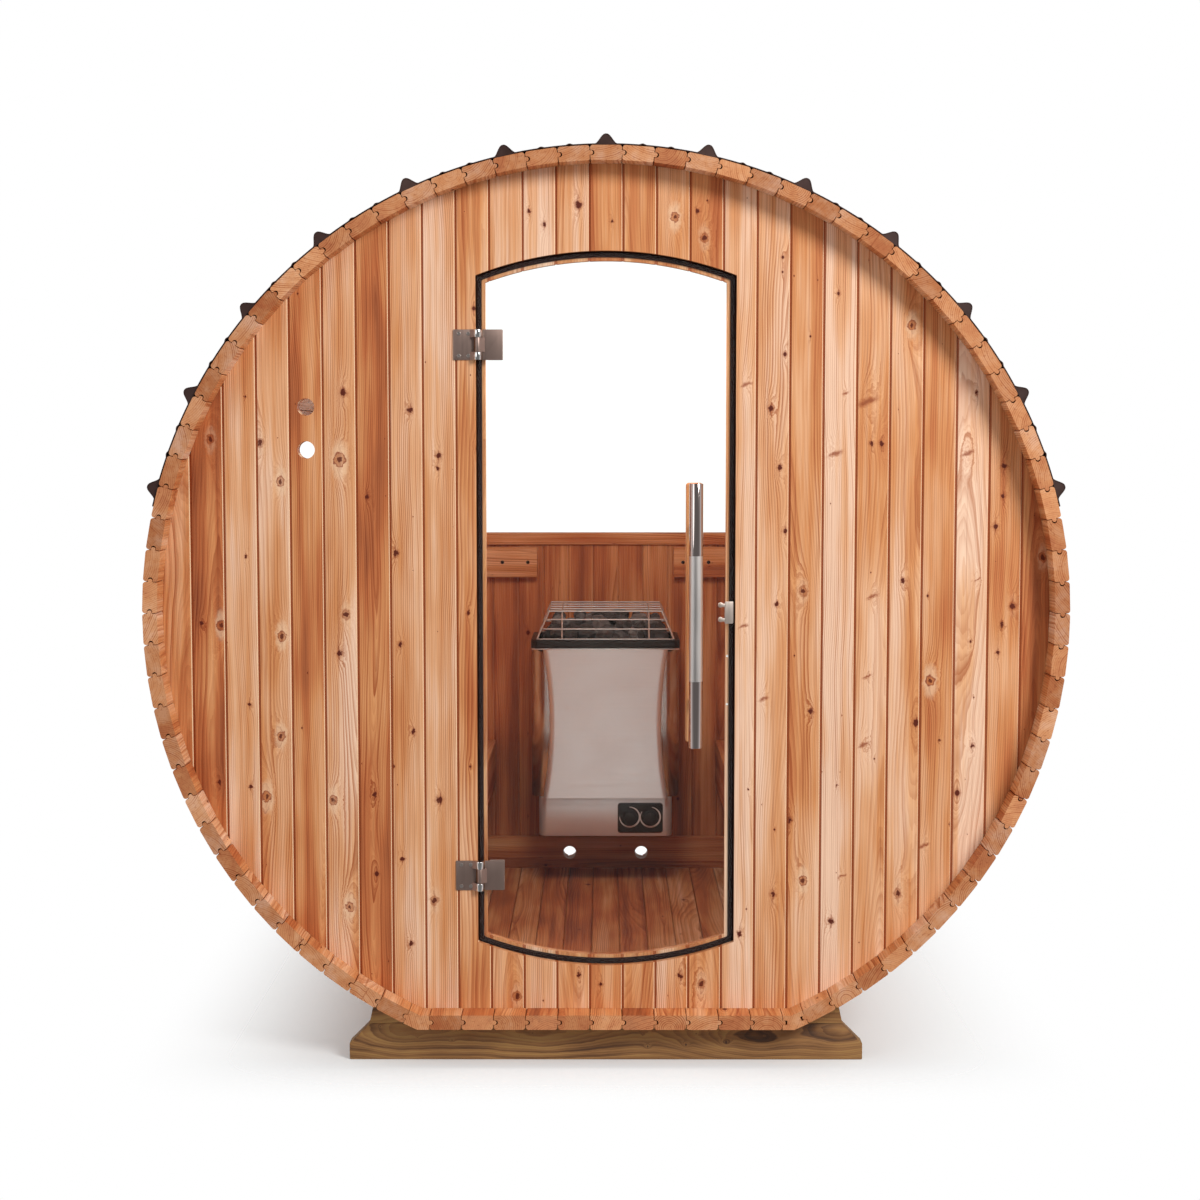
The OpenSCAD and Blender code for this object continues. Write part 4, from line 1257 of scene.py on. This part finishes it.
def plate(name, low, high, corner):
    """A flat plate that faces the door, with its four corners rounded."""
    piece = ease(block(name, low, high), corner, 6, lambda p, q: abs(p.x - q.x) + abs(p.z - q.z) < 1e-5)
    return rounded(ease(piece, plate_ease))


def plastic(name, colour, dull):
    """Moulded plastic with a fine spark-eroded grain."""
    material, tree, shader = finish(name)
    place = coordinates(tree)
    grain = cloud(place, (900, 900, 900), 2)
    shade = smooth(cloud(place, (30, 30, 30), 3), 0.3, 0.7)
    coat(shader, mix(shade, tint(colour), scaled(colour, 1.25)),
         smooth(grain, 0.3, 0.7, dull - 0.05, dull + 0.08), grain, 0.25, 0.0003)
    return material


def scale_arc(x, start, end):
    """A printed scale round a dial, thick in its middle and thin at its ends."""
    bpy.ops.object.select_all(action="DESELECT")
    bpy.ops.mesh.primitive_grid_add(x_subdivisions=60, y_subdivisions=1, size=2)
    arc = bpy.context.object
    for corner in arc.data.vertices:
        share = (corner.co.x + 1) / 2
        turn = math.radians(between(start, end, share))
        half = between(scale_thin, scale_thick, math.sin(math.pi * share) ** 0.7)
        out = scale_r + half * corner.co.y
        corner.co = (x + out * math.cos(turn), plate_y - 0.0001, dial_z + out * math.sin(turn))
    hold(arc)
    skin = arc.modifiers.new("print", "SOLIDIFY")
    skin.thickness, skin.offset = 0.0004, 0
    bpy.ops.object.modifier_apply(modifier=skin.name)
    return arc


def dial(name, low, high, x):
    """A fluted knob on a thin skirt."""
    knob = bar(name, (x, high.y - skirt_t, dial_z), (x, high.y, dial_z), skirt_r, dial_sides)
    pick(knob, "FACE", lambda face: face.normal.y < -0.9)
    bpy.ops.mesh.inset(thickness=skirt_w)
    bpy.ops.mesh.extrude_region_move(TRANSFORM_OT_translate={"value": (0, low.y - high.y + skirt_t, 0)})
    bpy.ops.object.mode_set(mode="OBJECT")
    for corner in knob.data.vertices:
        flat = Vector((corner.co.x - x, 0, corner.co.z - dial_z))
        if corner.co.y < low.y + 0.001:
            flat *= 0.93
        elif flat.length > skirt_r - skirt_w + 0.0005 or corner.co.y > high.y - 0.001:
            continue
        if round(math.atan2(flat.z, flat.x) / (2 * math.pi) * dial_sides) % 3 == 0:
            flat *= 0.955
        corner.co.x, corner.co.z = x + flat.x, dial_z + flat.z
    ease(knob, 0.0008, 2, lambda p, q: abs(p.y - q.y) < 1e-5)
    return rounded(knob)


box = round_case("control_case", "control_box", box_round)
side_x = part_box("control_box")[1].x
screws = repeated("side_screws", bolt_head(0.004, 0.0016), [
    Matrix.Translation((side * side_x, side_screw_y, side_screw_z)) @ Matrix.Rotation(side * math.pi / 2, 4, "Z")
    for side in (-1, 1)])
box = join("control_case", [box, screws])
dress(box, brushed_steel("box steel", "#e6e4e2", 0.38, "X", 0, 0.6))
settle(box, "control_box")

low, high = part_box("control_panel")
plate_y = high.y - plate_t
edge = plate("control_plate_edge", (low.x, plate_y + edge_back, low.z), (high.x, high.y, high.z), edge_round)
dress(edge, brushed_steel("plate edge", "#8d8783", 0.35, "X"))
settle(edge, None)
panel = plate("control_plate", (low.x + edge_w, plate_y, low.z + edge_w),
              (high.x - edge_w, high.y, high.z - edge_w), panel_round)
black = plastic("black plate", "#1c1a19", 0.42)
dress(panel, black)
settle(panel, "control_panel")
scales = join("dial_scales", [scale_arc(dial_x[0], 178, 452), scale_arc(dial_x[1], 146, 442)])
dress(scales, plastic("printed scale", "#cdc6c1", 0.55))
settle(scales, None)

worn_mark = plastic("worn mark", "#5f5a57", 0.5)
for name, body, x in (("timer_dial", "timer", dial_x[0]), ("heat_dial", "thermostat", dial_x[1])):
    low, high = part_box(name)
    knob = dial(name + "_knob", low, high, x)
    dress(knob, black)
    settle(knob, name, body)
    mark = ease(block(name + "_mark", (x - mark_half, low.y - 0.0003, dial_z + mark_z[0]),
                      (x + mark_half, low.y + 0.001, dial_z + mark_z[1])), 0.0003)
    dress(rounded(mark), worn_mark)
    settle(mark, None, body)

# Door seal: a black rubber strip with eased front edges, pressed into the corner of the doorway's
# ledge and run all round behind the glass.
seal_w = 0.014
seal_gap = 0.0004
seal_low, seal_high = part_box("door_seal")
seal = door_tool(seal_gap, seal_low.y, seal_high.y, door_round)
cut(seal, door_tool(seal_w, seal_low.y - spare, seal_high.y + spare, 0.004))
seal.name = seal.data.name = "rubber_seal"
ease(seal, 0.0012, 2, lambda p, q: max(p.y, q.y) < seal_low.y + 1e-5)


def rubber():
    material, tree, shader = finish("black rubber")
    place = coordinates(tree)
    dust = cloud(place, (45, 45, 45), 4, 0.6)
    coat(shader, ramp(dust, (0.35, "#1a0b08"), (0.85, "#2a1510")), smooth(dust, 0.3, 0.7, 0.45, 0.65),
         cloud(place, (500, 500, 500), 2), 0.1, 0.0003)
    shader.inputs["Specular IOR Level"].default_value = 0.08
    return material


dress(rounded(seal), rubber())
settle(seal, "door_seal")

# Hinges: two satin steel leaves each. One is screwed to the wall with polished knuckles on its
# pin, the other grips the glass between two plates and turns on a sleeve.
pin_x, pin_y = -0.2955, -0.8595
pin_r, bore_r = 0.0035, 0.0038
hinge_half = 0.035
knuckle_r, knuckle_h = 0.009, 0.018
sleeve_r, sleeve_half = 0.0065, 0.0165
leaf_x = (-0.3525, -0.3045)
leaf_round = 0.002
clamp_x = (-0.2855, -0.2385)
clamp_back_x = -0.2735
leaf_t = 0.003
clamp_t = 0.004
screw_xs, screw_up = (-0.3395, -0.3175), 0.0255
glass_low, glass_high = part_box("door_glass")
hinge_heights = [axis_z + side * 0.62004 for side in (-1, 1)]


def upright_bar(name, low, high, radius, sides=48):
    """A round bar on the hinges' axis."""
    return bar(name, (pin_x, pin_y, low), (pin_x, pin_y, high), radius, sides)


def bored(piece, z):
    return cut(piece, upright_bar("bore", z - 0.02, z + 0.02, bore_r))


leaves = [plate("leaf", (leaf_x[0], wall_y - leaf_t, z - hinge_half), (leaf_x[1], wall_y, z + hinge_half),
                leaf_round) for z in hinge_heights]
screws = repeated("hinge_screws", bolt_head(0.0046, 0.0009), [
    Matrix.Translation((x, wall_y - leaf_t + 0.0002, z + up))
    for z in hinge_heights for x in screw_xs for up in (-screw_up, screw_up)])
knuckles, clamps = [], []
for z in hinge_heights:
    foot, head = z - hinge_half, z + hinge_half
    for low in (foot, head - knuckle_h):
        knuckles.append(rounded(ease(upright_bar("knuckle", low, low + knuckle_h, knuckle_r), 0.0012)))
        leaves.append(web("link", ((leaf_x[1] - 0.010, wall_y - leaf_t), (pin_x - 0.003, pin_y - 0.0075),
                                   (pin_x, pin_y + 0.0045), (leaf_x[1], wall_y - 0.0005)), low, low + knuckle_h))
    knuckles.append(upright_bar("pin", foot, head, pin_r, 24))
    clamps.append(plate("clamp", (clamp_x[0], glass_low.y - clamp_t, foot), (clamp_x[1], glass_low.y, head),
                        leaf_round))
    clamps.append(plate("clamp", (clamp_back_x, glass_high.y, foot), (clamp_x[1], glass_high.y + clamp_t, head),
                        leaf_round))
    sleeve = bored(upright_bar("sleeve", z - sleeve_half, z + sleeve_half, sleeve_r), z)
    clamps.append(rounded(ease(sleeve, 0.0006)))
    neck = web("neck", ((pin_x + 0.0045, pin_y - 0.0045), (clamp_x[0] + 0.006, glass_low.y - clamp_t),
                        (clamp_x[0] + 0.001, glass_low.y - 0.001), (pin_x - 0.0045, pin_y + 0.0045)),
               z - sleeve_half, z + sleeve_half)
    clamps.append(bored(neck, z))

# The leaves' and clamps' warm pink-brown tint is a painted reflection of the cedar round them, over satin steel.
leaf_steel_painted_reflection = brushed_steel("satin leaf", "#a68f86", 0.48, "Z")
chrome = brushed_steel("chrome", "#e3e1e0", 0.09, "Z")
for name, parts, steel, node, body in (
        ("hinge_leaves", leaves, leaf_steel_painted_reflection, "hinge_plates", "cabin"),
        ("hinge_knuckles", knuckles, chrome, None, "cabin"),
        ("hinge_screws", [screws], brushed_steel("screw steel", "#d3c6bf", 0.3, "X"), None, "cabin"),
        ("glass_clamps", clamps, leaf_steel_painted_reflection, "hinge_clamps", "door")):
    piece = join(name, parts)
    dress(piece, steel)
    settle(piece, node, body)

# Door: one sheet of clear toughened glass with arched ends and ground edges. It has a steel tube
# handle outside with a satin grip, bolted through the glass to a cedar grip inside, and a catch.
handle_x, handle_y = 0.2075, -0.8955
handle_r = 0.016
tube_wall, tube_sink = 0.0022, 0.0012
stand_z = [1.05506 + side * 0.204 for side in (-1, 1)]
satin_z = (0.904, 1.195)
grip_t, grip_ease = 0.028, 0.007
catch_x, nut_x = 0.2765, 0.2675
catch_half, prong_z, prong_half = 0.026, 0.017, 0.004
catch_round = 0.003
dress(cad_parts["door_glass"], glass)


def stand(x, z, y0, y1, radius):
    """A round spacer between a handle and the glass."""
    return ease(bar("stand", (x, y0, z), (x, y1, z), radius, 40), 0.0008)


def handle_finish():
    """Stainless tube, polished at its ends and brushed where the hand goes."""
    material, tree, shader = finish("handle steel")
    place = coordinates(tree)
    z = split(place)[2]
    satin = smooth(z, satin_z[0], satin_z[0] + 0.0005) * smooth(z, satin_z[1], satin_z[1] - 0.0005)
    grain = cloud(place, (900, 900, 5), 3, 0.6)
    shade = grain * 0.5 + cloud(place, (20, 20, 8), 3) * 0.5
    polished = mix(shade, tint("#b7a8a4"), tint("#cdbfba"))
    brushed = mix(shade, tint("#cbc4c0"), tint("#e4dedb"))
    rough = satin * smooth(shade, 0.3, 0.7, 0.26, 0.38) + 0.07
    coat(shader, mix(satin, polished, brushed), rough, grain * satin, 0.1, 0.0003)
    shader.inputs["Metallic"].default_value = 1
    return material


low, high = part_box("door_handle")
tube = bar("tube", (handle_x, handle_y, low.z), (handle_x, handle_y, high.z), handle_r, 72)
pick(tube, "FACE", lambda face: abs(face.normal.z) > 0.9)
bpy.ops.mesh.inset(thickness=tube_wall, use_individual=True)
bpy.ops.mesh.extrude_faces_move(TRANSFORM_OT_shrink_fatten={"value": -tube_sink})
for z in satin_z:
    bpy.ops.mesh.select_all(action="SELECT")
    bpy.ops.mesh.bisect(plane_co=(0, 0, z), plane_no=(0, 0, 1))
bpy.ops.object.mode_set(mode="OBJECT")
parts = [ease(tube, 0.0007)] + [stand(handle_x, z, handle_y, glass_low.y, 0.008) for z in stand_z]
handle = rounded(join("outer_handle", parts))
dress(handle, handle_finish())
settle(handle, "door_handle", "door")

low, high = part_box("inner_handle")
grip = ease(block("grip", (low.x, high.y - grip_t, low.z), high), grip_ease, 4)
grip_middle = ((low.x + high.x) / 2, high.y - grip_t, (low.z + high.z) / 2)
parts = [grip] + [stand(handle_x, z, glass_high.y, high.y - grip_t + 0.002, 0.010) for z in stand_z]
grip = board_notes(rounded(join("inner_grip", parts)), 91, 0.4, grip_middle)
dress(grip, cedar_finish("grip cedar", board_lay("XYZ"), 0.1))
settle(grip, "inner_handle", "door")

low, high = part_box("door_catch")
catch = [plate("face", (catch_x, low.y, axis_z - catch_half), (high.x, glass_low.y, axis_z + catch_half),
               catch_round)]
for side in (-1, 1):
    z = axis_z + side * prong_z
    catch.append(plate("prong", (low.x + 0.003, low.y, z - prong_half),
                       (catch_x + 0.002, glass_low.y, z + prong_half), catch_round))
    catch.append(rounded(stand(nut_x, z, glass_high.y, high.y, 0.006)))
catch = join("catch_plate", catch)
dress(catch, brushed_steel("catch steel", "#f0e0d5", 0.46, "Z"))
settle(catch, "door_catch", "door")

# Screws in the wood: two small bright steel heads driven into the doorway's ledge, and two dark
# ones through each cleat into the back wall.
ledge_x, ledge_heights = 0.2838, (0.9564, 0.8432)
cleat_y, cleat_z, cleat_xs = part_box("wall_cleats")[0].y, 1.0815, (0.240, 0.319)
heads = repeated("ledge_screws", bolt_head(0.0028, 0.0012),
                 [Matrix.Translation((ledge_x, ledge_y, z)) for z in ledge_heights])
dress(heads, chrome)
settle(heads, None)
heads = repeated("cleat_screws", bolt_head(0.0055, 0.0012),
                 [Matrix.Translation((side * x, cleat_y + 0.0003, cleat_z))
                  for side in (-1, 1) for x in cleat_xs])
dress(heads, brushed_steel("dark screw", "#3c2c26", 0.4, "X"))
settle(heads, None)

# Roof: three coated steel sheets, rolled to the barrel with a high rib every nine inches and low
# ones between, held down by hexagon screws with washers beside the ribs.
roof_r = 1.0688
roof_t = 0.002
roof_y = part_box("roof_crown")[1].y
bend_step = 0.0022
rib_step = math.radians(12.3835)
rib_h, rib_half, rib_crown = 0.0218, 0.0250, 0.0012
swage_h, swage_half, swages = 0.0026, 0.009, (0.36, 0.64)
lap_gap = 0.00035
edge_turn = 6 * rib_step + 0.023 / roof_r + math.radians(1)
lap_turn = 2 * rib_step + 0.023 / roof_r + math.radians(1)
closer_y = (roof_y - 0.014, roof_y - 0.001)
screw_side, screw_ys = 0.040, (-0.86, 0, 0.86)


def roof_height(turn):
    """How far the sheet stands up at an angle from the crown, with rounded bends."""
    def bell(off, crown, half, tall):
        share = min(1, max(0, (abs(off) - crown) / (half - crown)))
        return tall * (1 - share * share * (3 - 2 * share))
    count = turn / rib_step
    height = bell((count - round(count)) * rib_step * roof_r, rib_crown, rib_half, rib_h)
    for place in swages:
        height += bell((count - math.floor(count) - place) * rib_step * roof_r, 0, swage_half, swage_h)
    return height


def roof_sheet(name, start, end):
    """One sheet from angle to angle, bent from a strip."""
    bpy.ops.object.select_all(action="DESELECT")
    bpy.ops.mesh.primitive_grid_add(x_subdivisions=round((end - start) * roof_r / bend_step), y_subdivisions=1,
                                    size=2)
    sheet = made(name)
    for corner in sheet.data.vertices:
        turn = between(start, end, (corner.co.x + 1) / 2)
        out = roof_r + roof_height(turn)
        corner.co = (out * math.sin(turn), corner.co.y * roof_y, axis_z + out * math.cos(turn))
    hold(sheet)
    skin = sheet.modifiers.new("gauge", "SOLIDIFY")
    skin.thickness, skin.offset = roof_t, 1
    bpy.ops.object.modifier_apply(modifier=skin.name)
    return rounded(sheet)


def coated_steel():
    """Dark brown coil coating with a faint orange peel and settled dust."""
    material, tree, shader = finish("coated steel")
    place = coordinates(tree)
    wash = cloud(place, (14, 3, 14), 4, 0.6)
    coat(shader, ramp(wash, (0.3, "#34221e"), (0.55, "#402b27"), (0.75, "#4c3731")),
         smooth(wash, 0.3, 0.7, 0.36, 0.52), cloud(place, (700, 700, 700), 2), 0.12, 0.0004)
    shader.inputs["Specular IOR Level"].default_value = 0.3
    return material


def rib_end():
    """A closer that fills the end of the rib on the crown, at the front."""
    rise = [(rib_half * i / 12, roof_r + roof_height(rib_half * i / 12 / roof_r)) for i in range(-12, 13)]
    foot = roof_r - 0.001
    closer = web("closer", [(rib_half, foot)] + rise[::-1] + [(-rib_half, foot)], *closer_y)
    closer.data.transform(lying)
    return rounded(closer)


def roof_screw():
    """A hexagon head on a washer, standing on the sheet at the crown."""
    foot = roof_r + roof_t
    return rounded(join("roof_screw", [
        ease(bar("screw", (0, 0, foot + low), (0, 0, foot + high), radius, sides), 0.0006, 1)
        for sides, radius, low, high in ((16, 0.0075, -0.0002, 0.0018), (6, 0.0050, 0.0016, 0.0060))]))


roof_paint = coated_steel()
for node, start, end in (("roof_left", -edge_turn, -lap_turn - lap_gap), ("roof_crown", -lap_turn, lap_turn),
                         ("roof_right", lap_turn + lap_gap, edge_turn)):
    sheet = roof_sheet(node + "_sheet", start, end)
    dress(sheet, roof_paint)
    settle(sheet, node)

closer_moves = [turned(k * rib_step) @ Matrix.Rotation(back, 4, "Z")
                for k in range(-6, 7) for back in (0, math.pi)]
screw_turns = [k * rib_step + side * screw_side / roof_r for k in range(-6, 7) for side in (-1, 1)]
screw_moves = [Matrix.Translation((0, y, axis_z)) @ Matrix.Rotation(turn, 4, "Y")
               for turn in screw_turns if abs(turn) <= edge_turn - 0.008 for y in screw_ys]
for name, pattern, moves in (("rib_closers", rib_end(), closer_moves),
                             ("roof_screws", roof_screw(), screw_moves)):
    piece = repeated(name, pattern, moves)
    dress(piece, roof_paint)
    settle(piece, None)

# Studio: a white room with a soft lamp high on the right, a weaker one on the left, a small one
# for the room inside, and a floor that keeps the shadow and fades out into the white.
scene = bpy.context.scene
scene.view_settings.view_transform = "Standard"
floor_fade_x, floor_fade_y = (0.4, 1.15), (0.8, 1.2)


def white_room(ambient, behind):
    """White all round for the eye, dimmer behind the camera for gloss, and soft as light."""
    world = bpy.data.worlds.new("white room")
    world.use_nodes = True
    tree = world.node_tree
    back = tree.nodes["Background"].inputs
    path = tree.nodes.new("ShaderNodeLightPath").outputs
    away = split(coordinates(tree, "Generated"))[1]
    gloss = Value(path["Is Glossy Ray"]) * smooth(away, -0.85, 0.1, behind, 1.0)
    seen = largest(Value(path["Is Camera Ray"]), Value(path["Is Transmission Ray"]) * 1.1)
    back["Color"].default_value = (1, 1, 1, 1)
    feed(back["Strength"], largest(Value(path["Is Diffuse Ray"]) * ambient, largest(gloss, seen)))
    scene.world = world


def lamp(name, place, target, size, power, colour, mirrored=True):
    light = bpy.data.lights.new(name, "AREA")
    light.shape, light.size, light.energy, light.color = "DISK", size, power, colour
    holder = bpy.data.objects.new(name, light)
    holder.location = place
    holder.rotation_euler = (Vector(target) - Vector(place)).to_track_quat("-Z", "Y").to_euler()
    holder.visible_camera = holder.visible_transmission = False
    holder.visible_glossy = mirrored
    scene.collection.objects.link(holder)


def pale_floor():
    """A matt white floor that fades out to the sides, the front and the back."""
    material, tree, shader = finish("pale floor")
    x, y, _ = split(coordinates(tree))
    shader.inputs["Base Color"].default_value = (0.905, 0.955, 0.985, 1)
    shader.inputs["Roughness"].default_value = 0.9
    kept = smooth(abs(x), *floor_fade_x, 1, 0) * smooth(abs(y), *floor_fade_y, 1, 0)
    blend(kept, tree.nodes.new("ShaderNodeBsdfTransparent"), shader)
    return material


white_room(0.42, 0.18)
lamp("key lamp", (3.6, -5.2, 4.2), (0, -0.8, 1.0), 2.2, 318, (1.0, 0.98, 0.95))
lamp("fill lamp", (-4.5, -5.0, 2.6), (0, -0.8, 1.0), 3.0, 45, (0.98, 0.99, 1.0))
lamp("room lamp", (0, -0.72, 1.93), (0, 0.6, 0.9), 0.5, 11, (1.0, 0.98, 0.95), False)

bpy.ops.object.select_all(action="DESELECT")
bpy.ops.mesh.primitive_circle_add(vertices=96, radius=3.2, fill_type="NGON", location=(0, 0, 0))
floor = made("floor")
dress(floor, pale_floor())

camera = bpy.data.cameras.new("camera")
camera.sensor_width = 36
camera.lens = 63.46
eye = bpy.data.objects.new("camera", camera)
eye.location = (-0.0048, -5.7601, 1.4675)
eye.rotation_euler = Euler((math.radians(90 - 4.402), 0, math.radians(0.106)))
scene.collection.objects.link(eye)
scene.camera = eye
